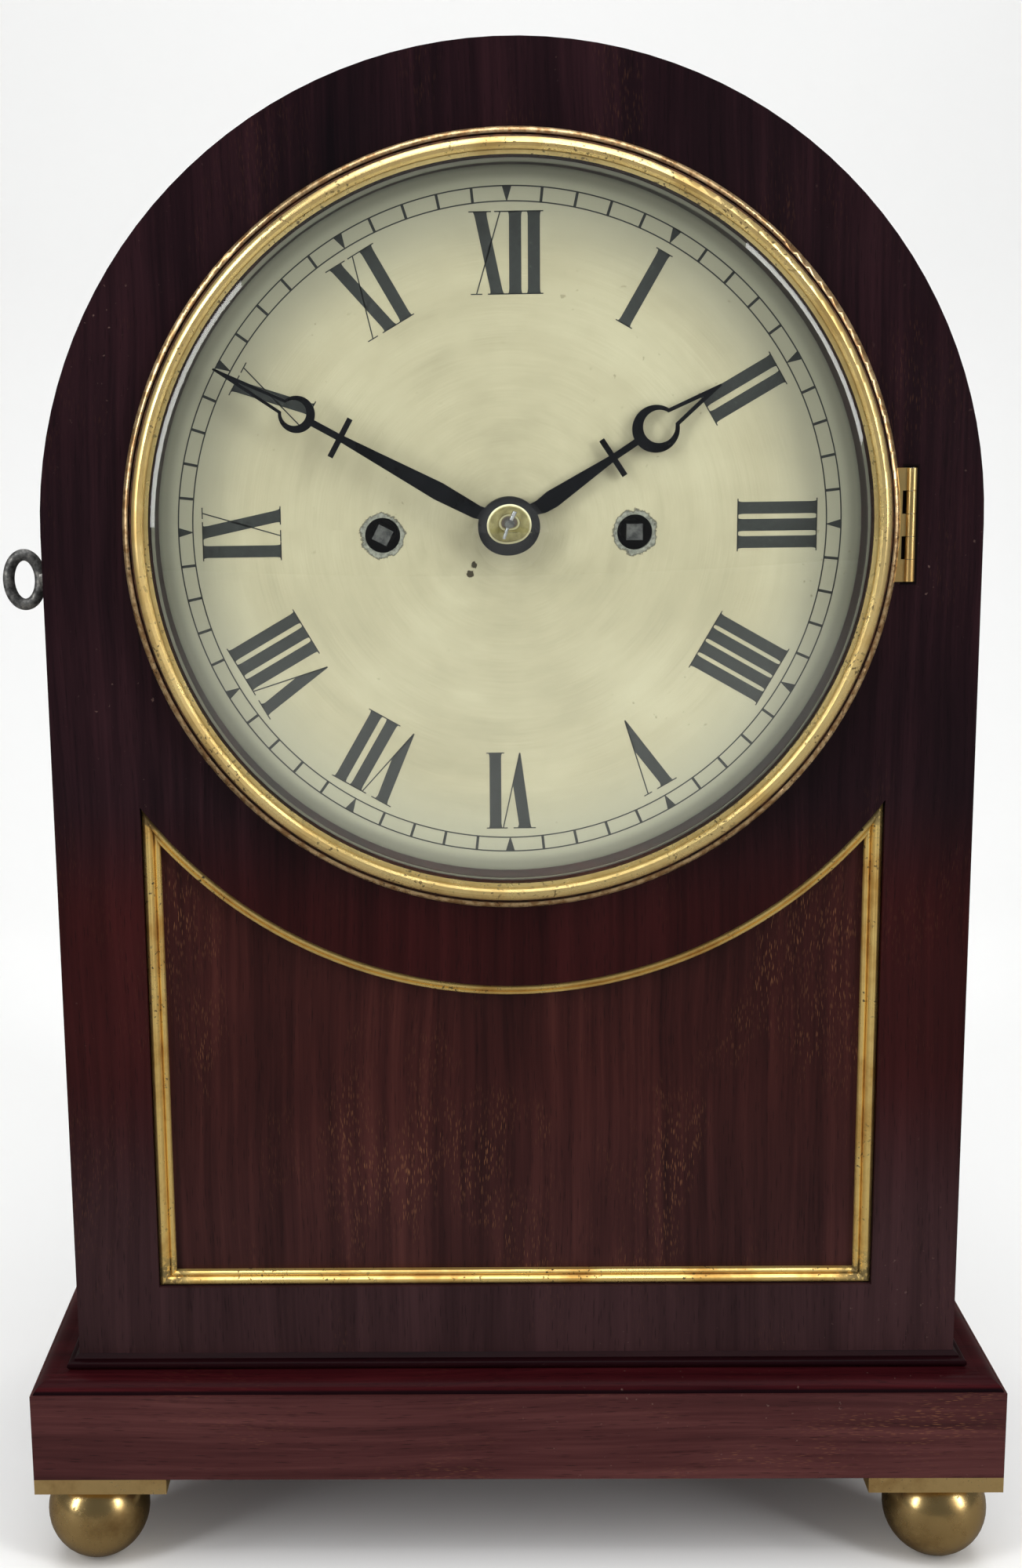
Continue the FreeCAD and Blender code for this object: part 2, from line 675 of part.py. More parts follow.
def strip_profile(width, place_point):
    """A reeded strip, from its outer edge inward: a broad bead, a groove and a narrow bead."""
    shoulder = STRIP_RISE - BEAD_DROP * width
    groove = STRIP_RISE - GROOVE_DROP * width
    outline = [(0.0, 0.0)]
    outline += bead((0.0, shoulder), (0.60 * width, shoulder), STRIP_RISE, 8)
    outline += bead((0.64 * width, groove), (width, groove), STRIP_RISE - NARROW_DROP * width, 6)
    outline.append((width, 0.0))
    points = [place_point(across, height) for across, height in outline]
    return Part.Face(Part.makePolygon(points + [points[0]]))


def make_strips():
    floor = CASE_FRONT + PANEL_SINK
    half = PANEL_HALF_WIDTH - FIT_GAP
    inner_half = half - STRIP_SIDE
    bottom = PANEL_BOTTOM + FIT_GAP
    inner_bottom = bottom + STRIP_BOTTOM
    radius = PANEL_ARC_RADIUS + FIT_GAP
    inner_radius = radius + STRIP_ARC
    top = DIAL_HEIGHT - math.sqrt(radius ** 2 - half ** 2)
    inner_top = DIAL_HEIGHT - math.sqrt(inner_radius ** 2 - inner_half ** 2)
    y0 = floor - STRIP_RISE - 1.0
    y1 = floor + 1.0

    foot = strip_profile(STRIP_BOTTOM, lambda w, rise: V(-half, floor - rise, bottom + w))
    foot = foot.extrude(V(2.0 * half, 0, 0))
    nodes["strip_bottom"] = foot.common(slab_y(
        [(-half, bottom), (half, bottom), (inner_half, inner_bottom), (-inner_half, inner_bottom)], y0, y1
    ))

    uprights = []
    for side in (-1, 1):
        upright = strip_profile(STRIP_SIDE, lambda w, rise: V(side * (half - w), floor - rise, bottom))
        upright = upright.extrude(V(0, 0, top - bottom))
        uprights.append(upright.common(slab_y(
            [(side * half, bottom), (side * inner_half, inner_bottom),
             (side * inner_half, inner_top), (side * half, top)], y0, y1
        )))
    nodes["strip_sides"] = group(*uprights)

    curve = strip_profile(STRIP_ARC, lambda w, rise: V(radius + w, floor - rise, DIAL_HEIGHT))
    curve = curve.revolve(V(0, 0, DIAL_HEIGHT), ALONG_Y, 180.0)
    mitre_x = half - inner_half
    mitre_z = top - inner_top
    mitre_top = (half + mitre_x, top + mitre_z)
    mitre_low = (inner_half - mitre_x, inner_top - mitre_z)
    below = DIAL_HEIGHT - inner_radius - 1.0
    nodes["strip_arc"] = curve.common(slab_y(
        [(0, DIAL_HEIGHT), mitre_top, mitre_low, (mitre_low[0], below),
         (-mitre_low[0], below), (-mitre_low[0], mitre_low[1]), (-mitre_top[0], mitre_top[1])], y0, y1
    ))


# ---------------------------------------------------------------- bezel
def bezel_point(radius, proud):
    return V(radius, CASE_FRONT - proud, DIAL_HEIGHT)


def dome_height(radius, edge_radius, edge, crown):
    """Height at one radius of a spherical cap that rises from edge to crown."""
    rise = crown - edge
    sphere = (rise ** 2 + edge_radius ** 2) / (2.0 * rise)
    return crown - sphere + math.sqrt(sphere ** 2 - radius ** 2)


def make_bezel():
    back = MOVING_GAP
    seat = back + GLASS_STANDOFF + GLASS_THICK + FIT_GAP
    rim = BEZEL_RADIUS
    p = bezel_point
    edges = [
        Part.makeLine(p(GLASS_RABBET, back), p(rim, back)),
        Part.makeLine(p(rim, back), p(rim, back + 0.9)),
        Part.Arc(
            p(rim, back + 0.9), p(rim - 0.5, back + 1.6), p(rim - FLANGE_WIDTH, back + FLANGE_TALL)
        ).toShape(),
        Part.makeLine(
            p(rim - FLANGE_WIDTH, back + FLANGE_TALL), p(rim - GROOVE_START, back + GROOVE_FLOOR)
        ),
        Part.makeLine(
            p(rim - GROOVE_START, back + GROOVE_FLOOR), p(rim - BEAD_START, back + GROOVE_FLOOR)
        ),
        Part.Arc(
            p(rim - BEAD_START, back + GROOVE_FLOOR), p(rim - BEAD_SHOULDER, BEZEL_RISE - 0.8),
            p(rim - BEAD_TOP, BEZEL_RISE),
        ).toShape(),
        Part.makeLine(p(rim - BEAD_TOP, BEZEL_RISE), p(BEZEL_SIGHT + 0.5, BEZEL_RISE - 0.4)),
        Part.makeLine(p(BEZEL_SIGHT + 0.5, BEZEL_RISE - 0.4), p(BEZEL_SIGHT, BEZEL_RISE - 1.3)),
        Part.makeLine(p(BEZEL_SIGHT, BEZEL_RISE - 1.3), p(BEZEL_SIGHT, seat)),
        Part.makeLine(p(BEZEL_SIGHT, seat), p(GLASS_RABBET, seat)),
        Part.makeLine(p(GLASS_RABBET, seat), p(GLASS_RABBET, back)),
    ]
    ring = Part.Face(Part.Wire(edges)).revolve(V(0, 0, DIAL_HEIGHT), ALONG_Y, 360.0)
    leaf_room = block(
        LEAF_INNER_X - 0.05, BEZEL_RADIUS + 1.0,
        CASE_FRONT - MOVING_GAP - LEAF_THICK - 0.05, CASE_FRONT,
        DIAL_HEIGHT - HINGE_HALF - 0.1, DIAL_HEIGHT + HINGE_HALF + 0.1,
    )
    nodes["bezel_ring"] = ring.cut(leaf_room)

    glass_back = back + GLASS_STANDOFF
    glass_front = glass_back + GLASS_THICK
    dome_inner = GLASS_DOME - GLASS_THICK
    bevel_front = glass_front + GLASS_BEVEL_RISE
    dome_edge = GLASS_BEVEL
    mid = 0.55 * dome_edge
    outer_mid = dome_height(mid, dome_edge, bevel_front, GLASS_DOME)
    inner_mid = dome_height(mid, dome_edge, glass_back, dome_inner)
    glass_edges = [
        Part.makeLine(p(0, dome_inner), p(0, GLASS_DOME)),
        Part.Arc(p(0, GLASS_DOME), p(mid, outer_mid), p(dome_edge, bevel_front)).toShape(),
        Part.makeLine(p(dome_edge, bevel_front), p(BEZEL_SIGHT - 0.2, glass_front)),
        Part.makeLine(p(BEZEL_SIGHT - 0.2, glass_front), p(GLASS_RADIUS, glass_front)),
        Part.makeLine(p(GLASS_RADIUS, glass_front), p(GLASS_RADIUS, glass_back)),
        Part.makeLine(p(GLASS_RADIUS, glass_back), p(dome_edge, glass_back)),
        Part.Arc(p(dome_edge, glass_back), p(mid, inner_mid), p(0, dome_inner)).toShape(),
    ]
    glass_face = Part.Face(Part.Wire(glass_edges))
    nodes["bezel_glass"] = glass_face.revolve(V(0, 0, DIAL_HEIGHT), ALONG_Y, 360.0)
    nodes["glass_ring"] = tube_y(
        0, DIAL_HEIGHT, CASE_FRONT - glass_back + PIN_GAP, CASE_FRONT - back,
        GLASS_RADIUS, DIAL_OPENING + 1.0,
    )


def make_staple():
    """The catch on the back of the bezel.  The lock's bolt rises into its notch."""
    plate = block(
        STAPLE_X0, STAPLE_X1, CASE_FRONT - MOVING_GAP, CASE_FRONT + STAPLE_LONG,
        STAPLE_LOW, STAPLE_LOW + STAPLE_TALL,
    )
    notch = block(
        STAPLE_X0 - 1.0, STAPLE_X1 + 1.0, CASE_FRONT + NOTCH_FRONT, CASE_FRONT + NOTCH_BACK,
        STAPLE_LOW - 1.0, STAPLE_LOW + BOLT_TRAVEL,
    )
    nodes["bezel_staple"] = plate.cut(notch)


def knuckle_spans():
    """Heights of the five knuckles of the bezel hinge, from the lowest up."""
    tall = 2.0 * HINGE_HALF / HINGE_KNUCKLES
    spans = []
    for number in range(HINGE_KNUCKLES):
        low = DIAL_HEIGHT - HINGE_HALF + number * tall
        spans.append((low + KNUCKLE_GAP / 2.0, low + tall - KNUCKLE_GAP / 2.0))
    return spans


def make_bezel_hinge():
    moving = block(
        LEAF_INNER_X, HINGE_AXIS_X, CASE_FRONT - MOVING_GAP - LEAF_THICK, CASE_FRONT - MOVING_GAP,
        DIAL_HEIGHT - HINGE_HALF, DIAL_HEIGHT + HINGE_HALF,
    )
    fixed = block(
        HINGE_AXIS_X + HINGE_KNUCKLE - LEAF_THICK, HINGE_AXIS_X + HINGE_KNUCKLE,
        HINGE_AXIS_Y, FRONT_BACK - 1.0, DIAL_HEIGHT - HINGE_HALF, DIAL_HEIGHT + HINGE_HALF,
    )
    clear = HINGE_KNUCKLE + 0.15
    for number, (low, high) in enumerate(knuckle_spans()):
        knuckle = rod_z(HINGE_AXIS_X, HINGE_AXIS_Y, low, high, HINGE_KNUCKLE)
        low_gap = low - KNUCKLE_GAP
        high_gap = high + KNUCKLE_GAP
        if number % 2 == 0:
            moving = moving.fuse(knuckle)
            fixed = fixed.cut(rod_z(HINGE_AXIS_X, HINGE_AXIS_Y, low_gap, high_gap, clear))
        else:
            fixed = fixed.fuse(knuckle)
            gap = block(
                HINGE_AXIS_X - HINGE_KNUCKLE - 1.0, HINGE_AXIS_X + 1.0,
                CASE_FRONT - 4.0, CASE_FRONT + 1.0, low_gap, high_gap,
            )
            moving = moving.cut(gap)
    hole = rod_z(
        HINGE_AXIS_X, HINGE_AXIS_Y, DIAL_HEIGHT - HINGE_HALF - 1.0, DIAL_HEIGHT + HINGE_HALF + 1.0,
        HINGE_PIN + PIN_GAP,
    )
    nodes["bezel_hinge_leaf"] = moving.cut(hole)
    nodes["case_hinge_leaf"] = fixed.cut(hole)


def make_hinge_pins():
    pins = [rod_z(
        HINGE_AXIS_X, HINGE_AXIS_Y, DIAL_HEIGHT - HINGE_HALF, DIAL_HEIGHT + HINGE_HALF, HINGE_PIN
    )]
    for height in DOOR_HINGE_HEIGHTS:
        low = height - DOOR_HINGE_HALF
        high = height + DOOR_HINGE_HALF
        pins.append(rod_z(DOOR_AXIS_X, DOOR_AXIS_Y, low, high, DOOR_PIN))
    nodes["hinge_pins"] = group(*pins)


# ---------------------------------------------------------------- lock and key
def make_lock():
    x0 = -INNER_HALF_WIDTH
    x1 = STAPLE_X1 + 1.5
    y0 = FRONT_BACK
    y1 = KEY_Y + KEY_BIT + 2.0
    z0 = KEY_HEIGHT - 14.0
    z1 = KEY_HEIGHT + 5.0
    wall = 1.2
    front_wall = CASE_FRONT + BOLT_FRONT - MOVING_GAP
    case = block(x0, x1, y0, y1, z0, z1)
    hollow = block(x0 + wall, x1 - wall, front_wall, y1 - wall, z0 + wall, z1 - wall)
    bolt_way = block(
        STAPLE_X0 - MOVING_GAP, x1 - wall, front_wall, CASE_FRONT + BOLT_FRONT + BOLT_WIDE + MOVING_GAP,
        z1 - wall - 1.0, z1 + 1.0,
    )
    key_way = rod_x(x0 - 1.0, x0 + wall + 1.0, KEY_Y, KEY_HEIGHT, KEY_BIT + 0.6)
    nodes["lock_case"] = case.cut(hollow).cut(bolt_way).cut(key_way)

    bolt_y0 = CASE_FRONT + BOLT_FRONT
    bolt_y1 = bolt_y0 + BOLT_WIDE
    bolt = block(STAPLE_X0, STAPLE_X1, bolt_y0, bolt_y1, KEY_HEIGHT - 11.5, STAPLE_LOW - 0.5)
    talon = block(
        STAPLE_X0 - 6.0, STAPLE_X1, bolt_y0, bolt_y1 + 3.1, KEY_HEIGHT - 10.5, KEY_HEIGHT + 0.5
    )
    mouth = block(
        STAPLE_X0 - 7.0, STAPLE_X1 + 1.0, bolt_y1, bolt_y1 + 4.0, KEY_HEIGHT - 8.5, KEY_HEIGHT - 1.5
    )
    nodes["lock_bolt"] = bolt.fuse(talon.cut(mouth)).removeSplitter()


def make_key():
    bow_x = -CASE_HALF_WIDTH - KEY_BOW_STANDOFF - KEY_BOW_X / 2.0
    half_x = KEY_BOW_X / 2.0 - KEY_WIRE
    half_z = KEY_BOW_Z / 2.0 - KEY_WIRE
    centre = V(bow_x, KEY_Y, KEY_HEIGHT)
    path = Part.Wire(Part.Ellipse(
        V(bow_x, KEY_Y, KEY_HEIGHT + half_z), V(bow_x + half_x, KEY_Y, KEY_HEIGHT), centre
    ).toShape())
    start = V(bow_x, KEY_Y, KEY_HEIGHT + half_z)
    section = Part.Wire(Part.makeCircle(KEY_WIRE, start, ALONG_X))
    bow = path.makePipeShell([section], True, True)
    shank_start = bow_x + half_x
    shank_end = STAPLE_X0 - 2.4
    shank = rod_x(shank_start, shank_end, KEY_Y, KEY_HEIGHT, KEY_SHANK)
    collar = rod_x(
        -CASE_HALF_WIDTH - 2.6, -CASE_HALF_WIDTH - 1.4, KEY_Y, KEY_HEIGHT, KEY_SHANK + 0.8
    )
    bit = block(
        STAPLE_X0 - 8.2, STAPLE_X0 - 2.6, KEY_Y - KEY_BIT_THICK / 2.0, KEY_Y + KEY_BIT_THICK / 2.0,
        KEY_HEIGHT - KEY_BIT, KEY_HEIGHT,
    )
    nodes["key"] = fuse(bow, shank, collar, bit)


# ---------------------------------------------------------------- back door
def make_back_door():
    half = DOOR_OPENING - DOOR_GAP
    bottom = CASE_BOTTOM + DOOR_SILL + DOOR_GAP
    glass_half = half - DOOR_STILE
    rebate = 3.0
    rebate_depth = DOOR_GLASS_THICK + 0.5
    door = arch(half, bottom, BACK_FACE, CASE_BACK)
    door = door.cut(arch(glass_half, bottom + DOOR_STILE, BACK_FACE - 1.0, CASE_BACK + 1.0))
    door = door.cut(arch(
        glass_half + rebate, bottom + DOOR_STILE - rebate, BACK_FACE - 1.0, BACK_FACE + rebate_depth
    ))
    turn_x = -half + DOOR_STILE / 2.0 - 0.4
    door = door.cut(rod_y(turn_x, TURN_HEIGHT, BACK_FACE - 1.0, CASE_BACK + 1.0, 2.0 + PIVOT_GAP + 0.03))
    nodes["back_door"] = door
    nodes["back_glass"] = arch(
        glass_half + rebate - FIT_GAP, bottom + DOOR_STILE - rebate + FIT_GAP,
        BACK_FACE + rebate_depth - DOOR_GLASS_THICK, BACK_FACE + rebate_depth,
    )

    knob = rod_y(turn_x, TURN_HEIGHT, CASE_BACK + MOVING_GAP, CASE_BACK + 2.0, 6.0)
    grip = block(
        turn_x - 1.2, turn_x + 1.2, CASE_BACK + 1.5, CASE_BACK + 4.0,
        TURN_HEIGHT - 5.0, TURN_HEIGHT + 5.0,
    )
    shaft = rod_y(turn_x, TURN_HEIGHT, BACK_FACE - 3.0, CASE_BACK + 1.0, 2.0)
    tongue = block(
        turn_x - 2.0, turn_x + 2.0, BACK_FACE - 3.5, BACK_FACE - 0.5,
        TURN_HEIGHT - 3.0, TURN_HEIGHT + TURN_LENGTH,
    )
    nodes["back_turn"] = fuse(knob, grip, shaft, tongue)

    axis_x = DOOR_AXIS_X
    axis_y = DOOR_AXIS_Y
    case_leaves = []
    door_leaves = []
    third = 2.0 * DOOR_HINGE_HALF / 3.0
    for height in DOOR_HINGE_HEIGHTS:
        low = height - DOOR_HINGE_HALF
        high = height + DOOR_HINGE_HALF
        case_leaf = block(axis_x, axis_x + 12.0, CASE_BACK, CASE_BACK + 1.2, low, high)
        door_leaf = block(axis_x - 12.0, axis_x, CASE_BACK, CASE_BACK + 1.2, low, high)
        middle_low = low + third
        middle_high = high - third
        clear = DOOR_KNUCKLE + 0.2
        case_leaf = case_leaf.cut(rod_z(axis_x, axis_y, middle_low - 0.2, middle_high + 0.2, clear))
        case_leaf = case_leaf.fuse([
            rod_z(axis_x, axis_y, low, middle_low - 0.1, DOOR_KNUCKLE),
            rod_z(axis_x, axis_y, middle_high + 0.1, high, DOOR_KNUCKLE),
        ])
        door_leaf = door_leaf.cut([
            rod_z(axis_x, axis_y, low - 1.0, middle_low + 0.2, clear),
            rod_z(axis_x, axis_y, middle_high - 0.2, high + 1.0, clear),
        ])
        door_leaf = door_leaf.fuse(
            rod_z(axis_x, axis_y, middle_low + 0.1, middle_high - 0.1, DOOR_KNUCKLE)
        )
        hole = rod_z(axis_x, axis_y, low - 1.0, high + 1.0, DOOR_PIN + PIN_GAP)
        case_leaves.append(case_leaf.cut(hole))
        door_leaves.append(door_leaf.cut(hole))
    nodes["back_case_leaves"] = group(*case_leaves)
    nodes["back_door_leaves"] = group(*door_leaves)


# ---------------------------------------------------------------- dial and hands
def make_dial():
    plate = rod_y(0, DIAL_HEIGHT, FRONT_BACK, DIAL_BACK, DIAL_RADIUS)
    plate = plate.cut(rod_y(0, DIAL_HEIGHT, FRONT_BACK - 1.0, DIAL_BACK + 1.0, DIAL_HOLE))
    for place in (FUSEE_GOING, FUSEE_STRIKE):
        plate = plate.cut(rod_y(place[0], place[1], FRONT_BACK - 1.0, DIAL_BACK + 1.0, WINDING_HOLE))
    for side in (-1, 1):
        for rise in DIAL_FOOT_RISES:
            foot_x = side * DIAL_FOOT_X
            foot = rod_y(foot_x, DIAL_HEIGHT + rise, DIAL_BACK, PLATE_FRONT, DIAL_FOOT_RADIUS)
            plate = plate.fuse(foot)
    nodes["dial_plate"] = plate


def hand(length, ring_at, ring_radius, bar_at, y0, angle, bore):
    """A moon hand: hub, bellied blade, cross bar, crescent ring and open pointed tip."""
    belly_at = 0.42 * bar_at
    blade = [
        (HAND_HUB_RADIUS - 1.0, 1.7), (belly_at, HAND_BELLY_HALF), (bar_at, HAND_NECK_HALF),
        (ring_at - 0.8 * ring_radius, HAND_NECK_HALF),
    ]
    outline = [(half, along) for along, half in blade]
    outline += [(-half, along) for along, half in reversed(blade)]
    y1 = y0 + HAND_THICK
    blade_piece = slab_y(outline, y0, y1)
    bar = slab_y([
        (-HAND_BAR_HALF, bar_at - HAND_BAR_WIDE / 2.0), (HAND_BAR_HALF, bar_at - HAND_BAR_WIDE / 2.0),
        (HAND_BAR_HALF, bar_at + HAND_BAR_WIDE / 2.0), (-HAND_BAR_HALF, bar_at + HAND_BAR_WIDE / 2.0),
    ], y0, y1)
    ring = rod_y(0, ring_at, y0, y1, ring_radius)
    shoulder = 0.42 * ring_radius
    tip_start = ring_at + 0.86 * ring_radius
    tip = slab_y([(-shoulder, tip_start), (shoulder, tip_start), (0.25, length), (-0.25, length)], y0, y1)
    hub = rod_y(0, 0, y0, y1, HAND_HUB_RADIUS)
    solid = hub.fuse([blade_piece, bar, ring, tip])
    moon = rod_y(0, ring_at + 0.17 * ring_radius, y0 - 1.0, y1 + 1.0, 0.69 * ring_radius)
    prong = 0.62
    open_end = ring_at + 0.86 * ring_radius + 0.62 * (length - tip_start)
    window = slab_y([
        (-shoulder + prong, ring_at + 0.5 * ring_radius), (shoulder - prong, ring_at + 0.5 * ring_radius),
        (0.05, open_end), (-0.05, open_end),
    ], y0 - 1.0, y1 + 1.0)
    solid = solid.cut([moon, window, rod_y(0, 0, y0 - 1.0, y1 + 1.0, bore)])
    solid.translate(V(0, 0, DIAL_HEIGHT))
    return about(solid.removeSplitter(), 0, DIAL_HEIGHT, angle)


def make_hands():
    hour_y = FRONT_BACK - HOUR_HAND_PROUD - HAND_THICK
    minute_y = FRONT_BACK - MINUTE_HAND_PROUD - HAND_THICK
    nodes["hour_hand"] = hand(
        HOUR_LENGTH, HOUR_RING_AT, HOUR_RING_RADIUS, HOUR_BAR_AT, hour_y, HOUR_ANGLE, HOUR_OUTER
    )
    nodes["minute_hand"] = hand(
        MINUTE_LENGTH, MINUTE_RING_AT, MINUTE_RING_RADIUS, MINUTE_BAR_AT,
        minute_y, MINUTE_ANGLE, CANNON_OUTER,
    )

    face = minute_y
    collet = turned([
        (CENTRE_ARBOR + 0.05, face), (COLLET_RADIUS, face), (COLLET_RADIUS, face - 0.8),
        (COLLET_RADIUS - 0.7, face - 1.4), (2.9, face - 1.1), (2.7, face - 1.8),
        (CENTRE_ARBOR + 0.05, face - 1.8),
    ], 0, DIAL_HEIGHT)
    nodes["hand_collet"] = collet
    pin_y = FRONT_BACK - ARBOR_PROUD + 1.0
    pin_length = 8.4
    pin = Part.makeCone(0.45, 0.62, pin_length, V(-pin_length / 2.0, pin_y, DIAL_HEIGHT), ALONG_X)
    nodes["hand_pin"] = about(pin, 0, DIAL_HEIGHT, -70.0)


# ---------------------------------------------------------------- movement frame
def make_plates():
    half = PLATE_HALF_WIDTH
    low = DIAL_HEIGHT + PLATE_BOTTOM
    high = DIAL_HEIGHT + PLATE_TOP
    front = block(-half, half, PLATE_FRONT, TRAIN_FRONT, low, high)
    back = block(-half, half, TRAIN_BACK, PLATE_REAR, low, high)
    for name, (place, radius) in PLATE_HOLES.items():
        hole_radius = radius + PIVOT_GAP
        front = front.cut(rod_y(place[0], place[1], PLATE_FRONT - 1.0, TRAIN_FRONT + 1.0, hole_radius))
        if name == "pallet":
            hole_radius = 4.0
        back = back.cut(rod_y(place[0], place[1], TRAIN_BACK - 1.0, PLATE_REAR + 1.0, hole_radius))
    front = front.cut(rod_y(*MINUTE_ARBOR, PLATE_FRONT - 1.0, TRAIN_FRONT + 1.0, FINE_PIVOT + PIVOT_GAP))
    nodes["front_plate"] = front
    nodes["back_plate"] = back
    pillars = []
    for x, height in PILLARS:
        z = DIAL_HEIGHT + height
        pillars.append(turned([
            (0.0, TRAIN_FRONT), (PILLAR_RADIUS, TRAIN_FRONT), (PILLAR_RADIUS, TRAIN_FRONT + 4.0),
            (PILLAR_RADIUS - 1.2, TRAIN_FRONT + 6.0), (PILLAR_RADIUS - 1.2, TRAIN_BACK - 6.0),
            (PILLAR_RADIUS, TRAIN_BACK - 4.0), (PILLAR_RADIUS, TRAIN_BACK), (0.0, TRAIN_BACK),
        ], x, z))
    nodes["pillars"] = group(*pillars)


def make_cock():
    """The bridge on the back plate that carries the pallet arbor's pivot and the pendulum."""
    x, z = PALLET
    y0 = PLATE_REAR
    y1 = y0 + COCK_SPACE
    y2 = y1 + COCK_THICK
    bridge = block(-COCK_HALF, COCK_HALF, y1, y2, z - 5.0, z + 7.0)
    feet = [
        block(-COCK_HALF, COCK_FOOT - COCK_HALF, y0, y1, z - 5.0, z + 7.0),
        block(COCK_HALF - COCK_FOOT, COCK_HALF, y0, y1, z - 5.0, z + 7.0),
    ]
    chops = block(-4.0, 4.0, y2, y2 + 8.0, z + MOVING_GAP, z + 7.0)
    solid = bridge.fuse(feet + [chops]).removeSplitter()
    nodes["back_cock"] = solid.cut(rod_y(x, z, y1 - 1.0, y2 - 0.8, PIVOT + PIVOT_GAP))


def make_train():
    y = TRAIN_FRONT
    great_to_centre = bearing(FUSEE_GOING, CENTRE)
    nodes["going_fusee"] = fusee(FUSEE_GOING, GREAT_TEETH, GREAT_MODULE, great_to_centre, 0.0)
    strike_to_pin = bearing(FUSEE_STRIKE, PIN_WHEEL)
    nodes["strike_fusee"] = fusee(
        FUSEE_STRIKE, STRIKE_TEETH, STRIKE_MODULE, strike_to_pin, LEFT_SQUARE_TURN
    )
    nodes["going_barrel"] = barrel(BARREL_GOING)
    nodes["strike_barrel"] = barrel(BARREL_STRIKE)

    centre_body = rod_y(*CENTRE, y + END_SHAKE, TRAIN_BACK - END_SHAKE, ARBOR + 0.4)
    centre_arbor = rod_y(*CENTRE, FRONT_BACK - ARBOR_PROUD, PLATE_REAR, CENTRE_ARBOR)
    pin_hole = rod_x(-5.0, 5.0, FRONT_BACK - ARBOR_PROUD + 1.0, DIAL_HEIGHT, 0.66)
    centre_arbor = centre_arbor.cut(about(pin_hole, 0, DIAL_HEIGHT, -70.0))
    nodes["centre_wheel"] = fuse(
        centre_body, centre_arbor,
        pinion(CENTRE, y + GREAT_LAYER - 1.5, y + GREAT_LAYER + 4.0, CENTRE_LEAVES, GREAT_MODULE,
               bearing(CENTRE, FUSEE_GOING)),
        wheel(CENTRE, y + CENTRE_LAYER, WHEEL_THICK, CENTRE_TEETH, CENTRE_MODULE,
              bearing(CENTRE, THIRD), 5.0),
    )
    nodes["third_wheel"] = fuse(
        arbor(THIRD, PIVOT, PIVOT),
        pinion(THIRD, y + CENTRE_LAYER - 2.0, y + CENTRE_LAYER + 3.5, THIRD_LEAVES, CENTRE_MODULE,
               bearing(THIRD, CENTRE)),
        wheel(THIRD, y + THIRD_LAYER, WHEEL_THICK, THIRD_TEETH, THIRD_MODULE,
              bearing(THIRD, ESCAPE), 4.0),
    )


def fusee_radius(share):
    """Radius of the fusee's cone, by the share of its length from the great wheel."""
    return FUSEE_SMALL + (FUSEE_LARGE - FUSEE_SMALL) * (1.0 - share) ** FUSEE_CURVE


def fusee(place, teeth, module, mesh_bearing, square_turn):
    """Fusee cone, its great wheel and its arbor with the winding square."""
    y = TRAIN_FRONT
    x, z = place
    cone_start = y + CONE_LAYER
    step = CONE_LENGTH / FUSEE_TURNS
    profile = [(0.0, cone_start)]
    for turn in range(FUSEE_TURNS):
        share = turn / (FUSEE_TURNS - 1.0)
        radius = fusee_radius(share)
        start = cone_start + turn * step
        profile += [
            (radius, start), (radius - FUSEE_GROOVE, start + step / 2.0), (radius, start + step - 0.2)
        ]
    cap_start = cone_start + CONE_LENGTH
    cap_end = cap_start + 2.0
    profile += [(FUSEE_SMALL + 1.5, cap_start), (FUSEE_SMALL + 1.5, cap_end), (0.0, cap_end)]
    cone = turned(profile, x, z)
    great = wheel(place, y + GREAT_LAYER, GREAT_THICK, teeth, module, mesh_bearing, 18.0, 0)
    hub = rod_y(x, z, y + GREAT_LAYER, cone_start, 12.0)
    body = rod_y(x, z, y + END_SHAKE, TRAIN_BACK - END_SHAKE, FUSEE_ARBOR + 1.0)
    pivots = rod_y(x, z, PLATE_FRONT - 0.5, PLATE_REAR, FUSEE_ARBOR)
    half = WINDING_SQUARE / 2.0
    square = block(x - half, x + half, SQUARE_TIP, PLATE_FRONT, z - half, z + half)
    square = about(square, x, z, square_turn)
    return fuse(cone, great, hub, body, pivots, square)


def barrel(place):
    y = TRAIN_FRONT
    x, z = place
    drum = rod_y(x, z, y + CONE_LAYER, y + CONE_LAYER + BARREL_LENGTH, BARREL_RADIUS)
    body = rod_y(x, z, y + END_SHAKE, TRAIN_BACK - END_SHAKE, FUSEE_ARBOR + 1.0)
    return fuse(drum, body, rod_y(x, z, PLATE_FRONT, PLATE_REAR, FUSEE_ARBOR))


def outer_tangent(first, first_radius, second, second_radius, side):
    """End points of the tangent that touches two circles on the given side."""
    gap = math.hypot(second[0] - first[0], second[1] - first[1])
    lean = math.acos((first_radius - second_radius) / gap)
    along = math.atan2(second[1] - first[1], second[0] - first[0])
    normal = along + side * lean
    direction = (math.cos(normal), math.sin(normal))
    start = (first[0] + first_radius * direction[0], first[1] + first_radius * direction[1])
    end = (second[0] + second_radius * direction[0], second[1] + second_radius * direction[1])
    return start, end


